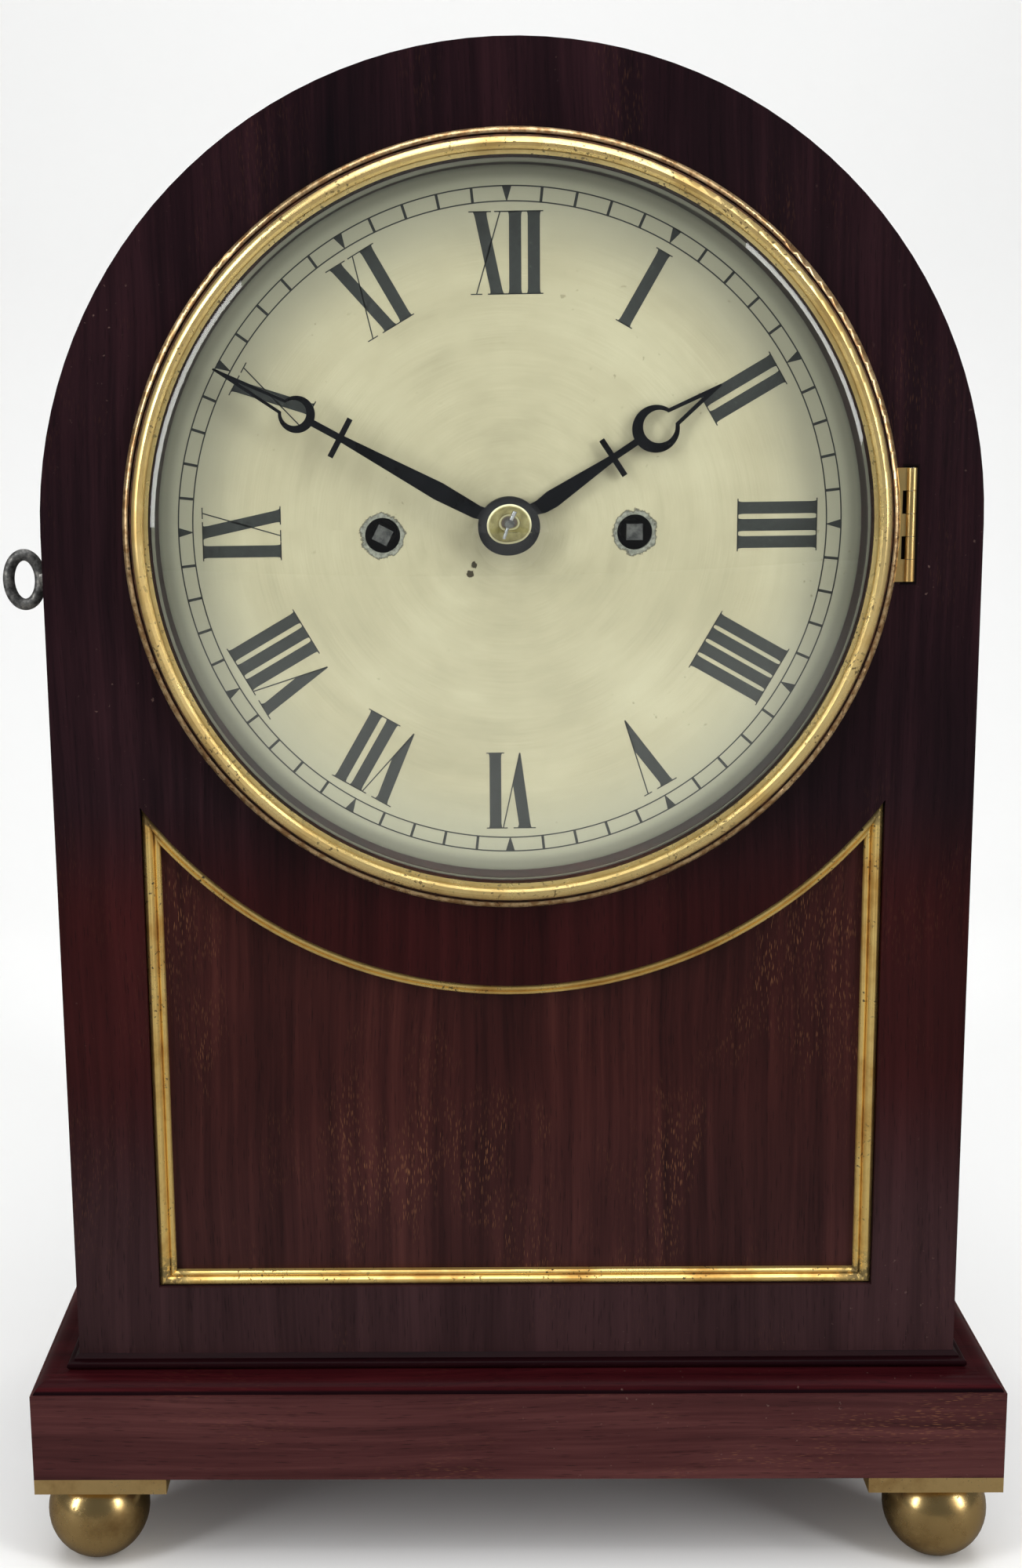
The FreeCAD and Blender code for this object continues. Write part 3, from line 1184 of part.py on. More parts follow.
def make_lines():
    """The straight runs of the two gut lines, each from its barrel to its fusee."""
    y = TRAIN_FRONT + CONE_LAYER + 0.5 * CONE_LENGTH
    middle = fusee_radius(0.5)
    stand_off = LINE_RADIUS + MOVING_GAP
    runs = []
    for cone_place, drum_place, side in (
        (FUSEE_GOING, BARREL_GOING, 1), (FUSEE_STRIKE, BARREL_STRIKE, -1)
    ):
        start, end = outer_tangent(
            cone_place, middle + stand_off + 0.6, drum_place, BARREL_RADIUS + stand_off, side
        )
        length = math.hypot(end[0] - start[0], end[1] - start[1])
        direction = V(end[0] - start[0], 0, end[1] - start[1])
        runs.append(Part.makeCylinder(LINE_RADIUS, length, V(start[0], y, start[1]), direction))
    nodes["gut_lines"] = group(*runs)


def make_escapement():
    y = TRAIN_FRONT
    x, z = ESCAPE
    outline = []
    root = ESCAPE_RADIUS - 3.0
    pitch = 360.0 / ESCAPE_TEETH
    for tooth in range(ESCAPE_TEETH):
        start = tooth * pitch
        outline.append(polar(x, z, root, start))
        outline.append(polar(x, z, ESCAPE_RADIUS, start + 0.30 * pitch))
        outline.append(polar(x, z, ESCAPE_RADIUS, start + 0.36 * pitch))
        outline.append(polar(x, z, root, start + 0.60 * pitch))
    disc = slab_y(outline, y + ESCAPE_LAYER, y + ESCAPE_LAYER + 1.2)
    window = tube_y(x, z, y + ESCAPE_LAYER - 1.0, y + ESCAPE_LAYER + 3.0, root - 1.3, 3.6)
    for spoke in range(4):
        bar = block(x - 0.7, x + 0.7, y + ESCAPE_LAYER - 2.0, y + ESCAPE_LAYER + 4.0, z, z + root)
        window = window.cut(about(bar, x, z, 90.0 * spoke))
    nodes["escape_wheel"] = fuse(
        disc.cut(window), arbor(ESCAPE, PIVOT, PIVOT),
        rod_y(x, z, y + ESCAPE_LAYER - 2.0, y + ESCAPE_LAYER, 3.4),
        pinion(ESCAPE, y + THIRD_LAYER - 2.0, y + THIRD_LAYER + 3.5, ESCAPE_LEAVES, THIRD_MODULE,
               bearing(ESCAPE, THIRD)),
    )

    px, pz = PALLET
    y0 = y + ESCAPE_LAYER - 1.0
    y1 = y0 + 3.2
    clear = ESCAPE_RADIUS + 0.9
    reach = ESCAPE_RADIUS * math.sin(math.radians(45.0))
    anchor = slab_y([
        (-2.5, pz + 3.5), (2.5, pz + 3.5), (reach + 3.2, pz - 4.5), (reach + 4.4, pz - 9.5),
        (reach + 2.2, pz - 9.5), (reach - 1.2, pz - 5.6), (0.0, pz - 3.6), (-reach + 1.2, pz - 5.6),
        (-reach - 2.2, pz - 9.5), (-reach - 4.4, pz - 9.5), (-reach - 3.2, pz - 4.5),
    ], y0, y1)
    anchor = anchor.cut(rod_y(x, z, y0 - 1.0, y1 + 1.0, clear))
    staff = rod_y(px, pz, TRAIN_FRONT + END_SHAKE, PLATE_REAR + COCK_SPACE - END_SHAKE, ARBOR)
    pivots = rod_y(px, pz, PLATE_FRONT, PLATE_REAR + COCK_SPACE + COCK_THICK - 1.2, PIVOT)
    crutch_y = PLATE_REAR + 3.0
    crutch_end = pz - 34.0
    collar = rod_y(px, pz, crutch_y, crutch_y + 2.4, 3.6)
    crutch = block(-1.8, 1.8, crutch_y, crutch_y + 1.6, crutch_end - 3.0, pz)
    foot = block(-4.2, 4.2, crutch_y, crutch_y + 1.6, crutch_end - 3.0, crutch_end + 3.0)
    pin_x = ROD_RADIUS + 0.2 + 0.9
    pins = [rod_y(s * pin_x, crutch_end, crutch_y, PENDULUM_Y + 3.0, 0.9) for s in (-1, 1)]
    nodes["pallets"] = fuse(anchor, staff, pivots, collar, crutch, foot, *pins)


def make_pendulum():
    x, z = PALLET
    strip_bottom = z - 16.0
    block_bottom = strip_bottom - 7.0
    bob_z = z - PENDULUM_LENGTH
    rod_bottom = bob_z - BOB_RADIUS - 9.0
    y = PENDULUM_Y
    nodes["suspension_spring"] = block(-0.1, 0.1, y - 3.0, y + 3.0, strip_bottom, z)
    rod = rod_z(x, y, rod_bottom, block_bottom + 1.0, ROD_RADIUS)
    head = block(-2.2, 2.2, y - 4.0, y + 4.0, block_bottom, strip_bottom + 2.0)
    slit = block(-0.12, 0.12, y - 3.05, y + 3.05, strip_bottom, strip_bottom + 3.0)
    nodes["pendulum_rod"] = fuse(rod, head).cut(slit)
    edge = 1.4
    half = BOB_THICK / 2.0
    lens = [
        Part.makeLine(V(x, y - half, bob_z), V(x, y + half, bob_z)),
        Part.Arc(
            V(x, y + half, bob_z), V(x + 0.62 * BOB_RADIUS, y + 0.70 * half, bob_z),
            V(x + BOB_RADIUS, y + edge / 2.0, bob_z),
        ).toShape(),
        Part.makeLine(V(x + BOB_RADIUS, y + edge / 2.0, bob_z), V(x + BOB_RADIUS, y - edge / 2.0, bob_z)),
        Part.Arc(
            V(x + BOB_RADIUS, y - edge / 2.0, bob_z), V(x + 0.62 * BOB_RADIUS, y - 0.70 * half, bob_z),
            V(x, y - half, bob_z),
        ).toShape(),
    ]
    bob = Part.Face(Part.Wire(lens)).revolve(V(x, y, bob_z), ALONG_Y, 360.0)
    channel = rod_z(x, y, bob_z - BOB_RADIUS - 1.0, bob_z + BOB_RADIUS + 1.0, ROD_RADIUS + FIT_GAP)
    nodes["pendulum_bob"] = bob.cut(channel)
    nut_top = bob_z - BOB_RADIUS - 0.1
    nut = rod_z(x, y, nut_top - 4.5, nut_top, 6.0).fuse(rod_z(x, y, nut_top - 7.0, nut_top - 4.5, 3.0))
    nodes["rating_nut"] = nut.cut(rod_z(x, y, nut_top - 8.0, nut_top + 1.0, ROD_RADIUS + PIN_GAP))


def make_motion_work():
    y = PLATE_FRONT
    cannon_y1 = y - CANNON_LAYER
    cannon_y0 = cannon_y1 - WHEEL_THICK
    minute_y = FRONT_BACK - MINUTE_HAND_PROUD - HAND_THICK
    pipe = rod_y(*CENTRE, minute_y, y - 0.4, CANNON_OUTER)
    cannon = toothed(
        CENTRE, cannon_y0, cannon_y1, CANNON_TEETH, CANNON_MODULE,
        TOOTH_WIDTH, TOOTH_HEIGHT, TOOTH_HEIGHT + ROOT_CLEARANCE, bearing(CENTRE, MINUTE_ARBOR),
    )
    bore = rod_y(*CENTRE, minute_y - 1.0, y + 1.0, CANNON_BORE)
    nodes["cannon_pinion"] = fuse(pipe, cannon).cut(bore)

    minute = toothed(
        MINUTE_ARBOR, cannon_y0, cannon_y1, CANNON_TEETH, CANNON_MODULE,
        TOOTH_WIDTH, TOOTH_HEIGHT, TOOTH_HEIGHT + ROOT_CLEARANCE,
        bearing(MINUTE_ARBOR, CENTRE) + 180.0 / CANNON_TEETH,
    )
    hour_y1 = y - HOUR_LAYER
    hour_y0 = hour_y1 - WHEEL_THICK
    leaves = pinion(
        MINUTE_ARBOR, hour_y0 - 1.0, cannon_y0, MINUTE_LEAVES, HOUR_MODULE, bearing(MINUTE_ARBOR, CENTRE)
    )
    staff = rod_y(*MINUTE_ARBOR, hour_y0 - 2.0, TRAIN_FRONT, FINE_PIVOT)
    shoulder = rod_y(*MINUTE_ARBOR, cannon_y1, y - END_SHAKE, 2.4)
    nodes["minute_wheel"] = fuse(minute, leaves, staff, shoulder)

    hour_hand_y = FRONT_BACK - HOUR_HAND_PROUD - HAND_THICK
    hour = wheel(
        CENTRE, hour_y0, WHEEL_THICK, HOUR_TEETH, HOUR_MODULE, bearing(CENTRE, MINUTE_ARBOR), 9.0, 0
    )
    hour_pipe = rod_y(*CENTRE, hour_hand_y, hour_y1, HOUR_OUTER)
    hour_bore = rod_y(*CENTRE, hour_hand_y - 1.0, y + 1.0, HOUR_BORE)
    nodes["hour_wheel"] = fuse(hour, hour_pipe, snail(hour_y0 - 1.4, hour_y0)).cut(hour_bore)


def snail(y0, y1):
    """The stepped cam of the striking, twelve steps from the smallest to the largest radius."""
    outline = []
    for step in range(12):
        radius = 7.0 + 0.7 * step
        outline.append(polar(0, DIAL_HEIGHT, radius, 30.0 * step))
        outline.append(polar(0, DIAL_HEIGHT, radius, 30.0 * step + 15.0))
        outline.append(polar(0, DIAL_HEIGHT, radius, 30.0 * step + 30.0))
    return slab_y(outline, y0, y1)


def make_strike_train():
    y = TRAIN_FRONT
    pins = []
    for number in range(PIN_COUNT):
        px, pz = polar(*PIN_WHEEL, PIN_CIRCLE, 360.0 * (number + 0.5) / PIN_COUNT)
        pins.append(rod_y(px, pz, y + PIN_LAYER - 3.6, y + PIN_LAYER + 0.5, 0.6))
    nodes["pin_wheel"] = fuse(
        arbor(PIN_WHEEL, ARBOR, PIVOT),
        pinion(PIN_WHEEL, y + GREAT_LAYER - 1.5, y + GREAT_LAYER + 4.0, PIN_LEAVES, STRIKE_MODULE,
               bearing(PIN_WHEEL, FUSEE_STRIKE)),
        wheel(PIN_WHEEL, y + PIN_LAYER, WHEEL_THICK, PIN_TEETH, PIN_MODULE,
              bearing(PIN_WHEEL, GATHER), 4.0), *pins,
    )
    nodes["gathering_wheel"] = fuse(
        arbor(GATHER, PIVOT, PIVOT),
        pinion(GATHER, y + PIN_LAYER - 2.0, y + PIN_LAYER + 3.5, GATHER_LEAVES, PIN_MODULE,
               bearing(GATHER, PIN_WHEEL)),
        wheel(GATHER, y + GATHER_LAYER, WHEEL_THICK, GATHER_TEETH, GATHER_MODULE,
              bearing(GATHER, WARN), 3.4),
    )
    nodes["warning_wheel"] = fuse(
        arbor(WARN, PIVOT, PIVOT),
        pinion(WARN, y + GATHER_LAYER - 2.0, y + GATHER_LAYER + 3.5, WARN_LEAVES, GATHER_MODULE,
               bearing(WARN, GATHER)),
        wheel(WARN, y + WARN_LAYER, WHEEL_THICK, WARN_TEETH, WARN_MODULE, bearing(WARN, FLY), 3.0),
    )
    vane = block(FLY[0] - FLY_VANE, FLY[0] + FLY_VANE, y + 21.0, y + 40.0, FLY[1] - 0.4, FLY[1] + 0.4)
    nodes["fly"] = fuse(
        arbor(FLY, FINE_PIVOT, FINE_PIVOT), vane,
        pinion(FLY, y + WARN_LAYER - 2.0, y + WARN_LAYER + 3.5, FLY_LEAVES, WARN_MODULE,
               bearing(FLY, WARN)),
    )


def make_bell():
    mouth = DIAL_HEIGHT + BELL_MOUTH
    crown = DIAL_HEIGHT + BELL_CROWN
    radius = BELL_RADIUS
    tall = crown - mouth
    flat = 0.3 * radius

    def bell_point(r, z):
        return V(r, BELL_Y, z)

    inner_radius = radius - BELL_WALL
    inner_crown = crown - BELL_WALL
    edges = [
        Part.makeLine(bell_point(inner_radius, mouth), bell_point(radius, mouth)),
        Part.Arc(
            bell_point(radius, mouth), bell_point(0.86 * radius, mouth + 0.72 * tall),
            bell_point(flat, crown),
        ).toShape(),
        Part.makeLine(bell_point(flat, crown), bell_point(0, crown)),
        Part.makeLine(bell_point(0, crown), bell_point(0, inner_crown)),
        Part.makeLine(bell_point(0, inner_crown), bell_point(flat, inner_crown)),
        Part.Arc(
            bell_point(flat, inner_crown),
            bell_point(0.86 * radius - BELL_WALL, mouth + 0.72 * tall - 0.6 * BELL_WALL),
            bell_point(inner_radius, mouth),
        ).toShape(),
    ]
    bell = Part.Face(Part.Wire(edges)).revolve(V(0, BELL_Y, 0), ALONG_Z, 360.0)
    nodes["bell"] = bell.cut(rod_z(0, BELL_Y, mouth, crown + 1.0, 2.2))

    foot_x = 20.0
    strap = block(
        foot_x - 4.0, foot_x + 4.0, PLATE_REAR, PLATE_REAR + 2.5, DIAL_HEIGHT + 50.0, mouth + 5.0
    )
    arm_outline = [
        (foot_x - 4.0, PLATE_REAR + 2.5), (foot_x + 4.0, PLATE_REAR + 2.5), (6.0, BELL_Y - 5.0),
        (-5.0, BELL_Y - 5.0), (-5.0, BELL_Y + 3.0),
    ]
    points = [V(ax, ay, mouth + 3.0) for ax, ay in arm_outline]
    arm = Part.Face(Part.makePolygon(points + [points[0]])).extrude(V(0, 0, 2.0))
    post = rod_z(0, BELL_Y, mouth + 3.0, inner_crown, 3.2)
    stud = rod_z(0, BELL_Y, inner_crown - 0.5, crown + 5.0, 1.8)
    stand = fuse(strap, arm, post, stud)
    nut = rod_z(0, BELL_Y, crown, crown + 3.2, 5.0).cut(rod_z(0, BELL_Y, crown - 1.0, crown + 6.0, 1.85))
    nodes["bell_stand"] = group(stand, nut)


def make_hammer():
    y = TRAIN_FRONT + HAMMER_LAYER
    x, z = HAMMER_ARBOR
    head_z = DIAL_HEIGHT + BELL_MOUTH + 4.0
    rim = BELL_RADIUS + 0.8
    head = rod_x(-rim - 9.0, -rim, BELL_Y, head_z, 4.5)
    arm_top = (-rim - 4.5, head_z)
    lean = math.degrees(math.atan2(arm_top[0] - x, arm_top[1] - z))
    arm_length = math.hypot(arm_top[0] - x, arm_top[1] - z)
    arm = about(block(x - 1.4, x + 1.4, y, y + 3.0, z, z + arm_length), x, z, lean)
    tail_end = PIN_WHEEL[0] - PIN_CIRCLE - 1.6
    tail_y = TRAIN_FRONT + PIN_LAYER - 3.4
    tail = block(x, tail_end, tail_y, tail_y + 2.2, z - 1.2, z + 1.2)
    hub = rod_y(x, z, y, tail_y + 2.2, 3.0)
    nodes["hammer"] = fuse(arbor(HAMMER_ARBOR, ARBOR, PIVOT), hub, arm, head, tail)


make_plinth()
make_plinth_moulding()
make_case()
make_front()
make_strips()
make_bezel()
make_staple()
make_bezel_hinge()
make_hinge_pins()
make_lock()
make_key()
make_back_door()
make_dial()
make_hands()
make_plates()
make_cock()
make_train()
make_lines()
make_escapement()
make_pendulum()
make_motion_work()
make_strike_train()
make_bell()
make_hammer()

os.makedirs("parts", exist_ok=True)
for name, shape in nodes.items():
    if not shape.isValid():
        print("not valid:", name)
    shape.exportStep("parts/" + name + ".step")
print(len(nodes), "nodes")
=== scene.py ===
import math

import bmesh
import bpy
from mathutils import Matrix, Vector


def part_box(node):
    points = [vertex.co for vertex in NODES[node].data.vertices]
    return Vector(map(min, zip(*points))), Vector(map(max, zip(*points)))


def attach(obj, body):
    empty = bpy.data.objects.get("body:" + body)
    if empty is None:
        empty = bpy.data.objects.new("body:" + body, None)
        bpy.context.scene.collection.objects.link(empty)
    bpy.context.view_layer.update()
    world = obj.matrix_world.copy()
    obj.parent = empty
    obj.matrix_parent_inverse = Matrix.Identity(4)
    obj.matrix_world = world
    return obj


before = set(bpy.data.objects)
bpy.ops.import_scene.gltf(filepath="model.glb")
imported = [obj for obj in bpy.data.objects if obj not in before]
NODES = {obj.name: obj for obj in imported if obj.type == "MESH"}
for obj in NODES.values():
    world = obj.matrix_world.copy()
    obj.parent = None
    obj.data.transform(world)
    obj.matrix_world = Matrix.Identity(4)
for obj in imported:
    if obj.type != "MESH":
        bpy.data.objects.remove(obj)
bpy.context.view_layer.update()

# Looks of the bracket clock.  Metres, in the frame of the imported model.
# X runs to the right, Y runs from the dial to the back, Z runs up.

MM = 0.001

# ---------------------------------------------------------------- places taken from the model
DIAL_LOW, DIAL_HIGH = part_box("dial_plate")
DIAL_Z = (DIAL_LOW.z + DIAL_HIGH.z) / 2.0
DIAL_FACE = DIAL_LOW.y
BEZEL_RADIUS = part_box("bezel_ring")[1].x
CASE_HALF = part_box("case_shell")[1].x
PANEL_LOW, PANEL_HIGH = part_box("front_panel")
PLATE_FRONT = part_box("front_plate")[0].y
LEAF_LOW, LEAF_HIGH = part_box("case_hinge_leaf")
LEAF_MID = (LEAF_LOW + LEAF_HIGH) / 2.0
LEAF_HALF = (LEAF_HIGH - LEAF_LOW) / 2.0
MOULDING_LOW, MOULDING_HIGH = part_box("plinth_moulding")

# ---------------------------------------------------------------- dial drawing, from the dial's centre
RING_OUTER = 87.7 * MM
RING_INNER = 83.9 * MM
RING_LINE = 0.34 * MM
TICK_LINE = 0.72 * MM
NUMERAL_OUTER = 81.3 * MM
NUMERAL_INNER = 60.6 * MM
INK_PROUD = 0.03 * MM
INK_THICK = 0.02 * MM
WINDING_X = 33.5 * MM
WINDING_DROP = 1.5 * MM
YELLOW_END, GREY_START = 66.0 * MM, 90.0 * MM
# Radii over which painted shade darkens the dial's rim under the bezel.
SHADE_START, SHADE_MIDDLE, SHADE_END = 88.2 * MM, 91.5 * MM, 94.5 * MM
# Each chip in the silvering: across, up, radius.
CHIPS = ((-9.2 * MM, -9.6 * MM, 0.9 * MM), (-10.3 * MM, -12.0 * MM, 1.1 * MM))


# ---------------------------------------------------------------- small helpers
def srgb(r, g, b):
    """A colour given as it shows on a screen, 0 to 255, turned into the renderer's own units."""
    def linear(v):
        v = v / 255.0
        return v / 12.92 if v <= 0.04045 else ((v + 0.055) / 1.055) ** 2.4
    return (linear(r), linear(g), linear(b), 1.0)


class Shader:
    """Builds one material's node tree.  Each call adds a node and returns the socket wanted from it."""

    def __init__(self, name):
        self.material = bpy.data.materials.new(name)
        self.material.use_nodes = True
        self.tree = self.material.node_tree
        self.tree.nodes.clear()
        self.output = self.tree.nodes.new("ShaderNodeOutputMaterial")

    def node(self, kind, **settings):
        made = self.tree.nodes.new(kind)
        for key, value in settings.items():
            setattr(made, key, value)
        return made

    def feed(self, socket, value):
        if isinstance(value, bpy.types.NodeSocket):
            self.tree.links.new(value, socket)
        else:
            socket.default_value = value

    def position(self):
        """The place on the piece, in the model's frame at rest.  It moves with the piece."""
        return self.node("ShaderNodeTexCoord").outputs["Object"]

    def split(self, vector):
        parts = self.node("ShaderNodeSeparateXYZ")
        self.feed(parts.inputs[0], vector)
        return parts.outputs["X"], parts.outputs["Y"], parts.outputs["Z"]

    def join(self, x, y, z):
        made = self.node("ShaderNodeCombineXYZ")
        for socket, value in zip(made.inputs, (x, y, z)):
            self.feed(socket, value)
        return made.outputs[0]

    def math(self, operation, a, b=0.0):
        made = self.node("ShaderNodeMath", operation=operation)
        self.feed(made.inputs[0], a)
        self.feed(made.inputs[1], b)
        return made.outputs[0]

    def distance(self, across, up):
        """How far a place lies from a point, from its offsets across and up."""
        squares = self.math("ADD", self.math("POWER", across, 2.0), self.math("POWER", up, 2.0))
        return self.math("SQRT", squares)

    def grid(self, across, across_scale, along, along_scale, layer=0.0):
        """A place stretched by one scale across and another along, on a layer of its own."""
        return self.join(
            self.math("MULTIPLY", across, across_scale), self.math("MULTIPLY", along, along_scale), layer
        )

    def stretch(self, x, y, z, scales):
        """A place with its own scale along each axis."""
        return self.join(*[self.math("MULTIPLY", value, scale) for value, scale in zip((x, y, z), scales)])

    def noise(self, vector, scale, detail=4.0, roughness=0.55):
        made = self.node("ShaderNodeTexNoise")
        self.feed(made.inputs["Vector"], vector)
        made.inputs["Scale"].default_value = scale
        made.inputs["Detail"].default_value = detail
        made.inputs["Roughness"].default_value = roughness
        return made.outputs["Fac"]

    def cells(self, vector):
        """Distance to the nearest of the points scattered one to a unit cell."""
        made = self.node("ShaderNodeTexVoronoi")
        self.feed(made.inputs["Vector"], vector)
        made.inputs["Scale"].default_value = 1.0
        return made.outputs["Distance"]

    def ramp(self, value, *stops):
        """Colours along a value: each stop is (place, colour)."""
        made = self.node("ShaderNodeValToRGB")
        self.feed(made.inputs[0], value)
        points = made.color_ramp.elements
        while len(points) < len(stops):
            points.new(0.5)
        for point, (place, colour) in zip(points, stops):
            point.position = place
            point.color = colour
        return made.outputs[0]

    def range(self, value, low, high, new_low=0.0, new_high=1.0):
        made = self.node("ShaderNodeMapRange", interpolation_type="SMOOTHSTEP")
        self.feed(made.inputs["Value"], value)
        self.feed(made.inputs["From Min"], low)
        self.feed(made.inputs["From Max"], high)
        self.feed(made.inputs["To Min"], new_low)
        self.feed(made.inputs["To Max"], new_high)
        return made.outputs[0]

    def mix(self, factor, a, b):
        made = self.node("ShaderNodeMix", data_type="RGBA")
        self.feed(made.inputs[0], factor)
        self.feed(made.inputs[6], a)
        self.feed(made.inputs[7], b)
        return made.outputs[2]

    def bump(self, height, strength, distance):
        made = self.node("ShaderNodeBump")
        made.inputs["Strength"].default_value = strength
        made.inputs["Distance"].default_value = distance
        self.feed(made.inputs["Height"], height)
        return made.outputs[0]

    def surface(self, **values):
        """Ends the tree in one Principled shader.  Names use underscores for spaces."""
        shader = self.node("ShaderNodeBsdfPrincipled")
        for key, value in values.items():
            self.feed(shader.inputs[key.replace("_", " ")], value)
        self.tree.links.new(shader.outputs[0], self.output.inputs["Surface"])
        return self.material


def shape_object(name, build, material, body):
    """Makes a mesh with build(bm), gives it a material and lets it ride on a body."""
    mesh = bpy.data.meshes.new(name)
    bm = bmesh.new()
    build(bm)
    bm.normal_update()
    bm.to_mesh(mesh)
    bm.free()
    made = bpy.data.objects.new(name, mesh)
    bpy.context.scene.collection.objects.link(made)
    mesh.materials.append(material)
    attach(made, body)
    return made


# ---------------------------------------------------------------- wood
# Heights over which the front board's tone changes.
FADE_LOW, FADE_HIGH = 85.0 * MM, 150.0 * MM
RED_FULL, RED_NONE = 185.0 * MM, 225.0 * MM


def mahogany(
    name, dark, middle, light, grain="up", redness=0.0, pores=1.0, gloss=0.28, shine=0.12, mortise=False,
    painted_groove_shade=False,
):
    """Old polished mahogany: long grain, slow colour bands, and short golden pores along the grain."""
    s = Shader(name)
    x, y, z = s.split(s.position())
    if grain == "up":
        across, along = s.math("ADD", x, s.math("MULTIPLY", y, 0.83)), z
    elif grain == "wrapped":
        # Up the sides, then round the arch, as one sheet of veneer bends over it.
        side = s.math("ABSOLUTE", x)
        above = s.math("MAXIMUM", s.math("SUBTRACT", z, DIAL_Z), 0.0)
        turn = s.math("ARCTAN2", above, side)
        along = s.math("ADD", s.math("MINIMUM", z, DIAL_Z), s.math("MULTIPLY", turn, CASE_HALF))
        out = s.distance(x, above)
        across = s.math("ADD", y, s.math("MULTIPLY", out, 0.7))
    else:
        across, along = s.math("ADD", z, s.math("MULTIPLY", y, 0.71)), x
    wander = s.noise(s.grid(across, 6.0, along, 3.0), 2.0, 2.0)
    across = s.math("ADD", across, s.math("MULTIPLY", wander, 0.012))
    bands = s.noise(s.grid(across, 30.0, along, 1.6), 1.0, 4.0, 0.6)
    streaks = s.noise(s.grid(across, 260.0, along, 7.0, 2.0), 1.0, 4.0, 0.65)
    fine = s.noise(s.grid(across, 1300.0, along, 30.0), 1.0, 3.0, 0.6)
    cloud = s.noise(s.position(), 8.0, 3.0, 0.6)
    tone = s.math("ADD", s.math("MULTIPLY", bands, 0.36), s.math("MULTIPLY", streaks, 0.34))
    tone = s.math("ADD", tone, s.math("MULTIPLY", fine, 0.12))
    tone = s.math("ADD", tone, s.math("MULTIPLY", cloud, 0.24))
    colour = s.ramp(tone, (0.40, dark), (0.53, middle), (0.68, light))
    if redness > 0.0:
        # The board is redder below the dial, and paler and browner towards its foot.
        reddened = s.range(z, RED_NONE, RED_FULL, 0.0, redness)
        low = s.math("MULTIPLY", reddened, s.range(z, FADE_LOW, FADE_HIGH, 0.2, 1.0))
        colour = s.mix(low, colour, s.ramp(tone, (0.40, srgb(32, 5, 5)), (0.66, srgb(60, 15, 13))))
        colour = s.mix(s.range(z, FADE_HIGH, FADE_LOW, 0.0, redness), colour,
                       s.ramp(tone, (0.40, srgb(34, 18, 20)), (0.66, srgb(66, 42, 44))))
    golden_cells = s.grid(across, 3300.0, along, 300.0)
    pore = s.cells(golden_cells)
    where = s.noise(s.grid(across, 36.0, along, 14.0, 3.0), 1.0, 3.0, 0.65)
    golden = s.math("MULTIPLY", s.range(pore, 0.34, 0.14), s.range(where, 0.48, 0.72, 0.0, 0.62 * pores))
    colour = s.mix(golden, colour, srgb(142, 96, 62))
    dark_cells = s.grid(across, 1500.0, along, 110.0, 5.0)
    dark_pore = s.range(s.cells(dark_cells), 0.26, 0.10)
    colour = s.mix(s.math("MULTIPLY", dark_pore, 0.5), colour, srgb(10, 4, 6))
    # Old polish: small pale dents and dust here and there.
    specks = s.range(s.noise(s.position(), 700.0, 2.0), 0.71, 0.76)
    dust = s.math("MULTIPLY", specks, s.range(cloud, 0.5, 0.7, 0.0, 0.5))
    colour = s.mix(dust, colour, srgb(120, 96, 88))
    if mortise:
        # The hinge leaf is let into the board, and dirt has settled along its edge.
        beyond_x = s.math("SUBTRACT", s.math("ABSOLUTE", s.math("SUBTRACT", x, LEAF_MID.x)), LEAF_HALF.x)
        beyond_z = s.math("SUBTRACT", s.math("ABSOLUTE", s.math("SUBTRACT", z, LEAF_MID.z)), LEAF_HALF.z)
        edge = s.range(s.math("MAXIMUM", beyond_x, beyond_z), 1.1 * MM, 0.6 * MM, 0.0, 0.9)
        colour = s.mix(edge, colour, srgb(9, 4, 5))
    if painted_groove_shade:
        # Painted shade: dark bands along the top and foot of the moulding, where its grooves lie in shade.
        at_foot = s.range(z, MOULDING_LOW.z + 1.2 * MM, MOULDING_LOW.z + 0.6 * MM)
        at_top = s.range(z, MOULDING_HIGH.z - 4.0 * MM, MOULDING_HIGH.z - 2.6 * MM, 0.0, 0.85)
        line = s.math("MAXIMUM", at_foot, at_top)
        colour = s.mix(s.math("MULTIPLY", line, 0.85), colour, srgb(10, 6, 9))
    height = s.math("SUBTRACT", fine, s.math("MULTIPLY", dark_pore, 0.5))
    rough = s.math("ADD", gloss, s.math("MULTIPLY", s.noise(s.position(), 34.0, 3.0), 0.14))
    return s.surface(
        Base_Color=colour, Roughness=rough, Specular_IOR_Level=shine, Coat_Weight=0.5 * shine,
        Coat_Roughness=0.1, Normal=s.bump(height, 0.12, 0.0002),
    )


BOARD_WOOD = mahogany(
    "board_mahogany", srgb(12, 5, 9), srgb(27, 12, 17), srgb(47, 24, 29), redness=0.75, pores=0.22,
    mortise=True,
)
CASE_WOOD = mahogany("case_mahogany", srgb(14, 6, 10), srgb(30, 13, 18), srgb(49, 23, 28), pores=0.3)
PANEL_WOOD = mahogany(
    "panel_mahogany", srgb(26, 9, 10), srgb(52, 23, 21), srgb(80, 41, 35), redness=0.25, gloss=0.3
)
SIDE_WOOD = mahogany(
    "side_mahogany", srgb(17, 7, 11), srgb(36, 15, 20), srgb(56, 27, 30), grain="wrapped", pores=0.35
)
PLINTH_WOOD = mahogany(
    "plinth_mahogany", srgb(36, 14, 15), srgb(66, 32, 32), srgb(92, 52, 50), grain="level", pores=1.0
)
MOULDING_WOOD = mahogany(
    "moulding_mahogany", srgb(22, 4, 7), srgb(48, 11, 15), srgb(70, 22, 26), grain="level", pores=0.2,
    gloss=0.3, shine=0.03, painted_groove_shade=True,
)


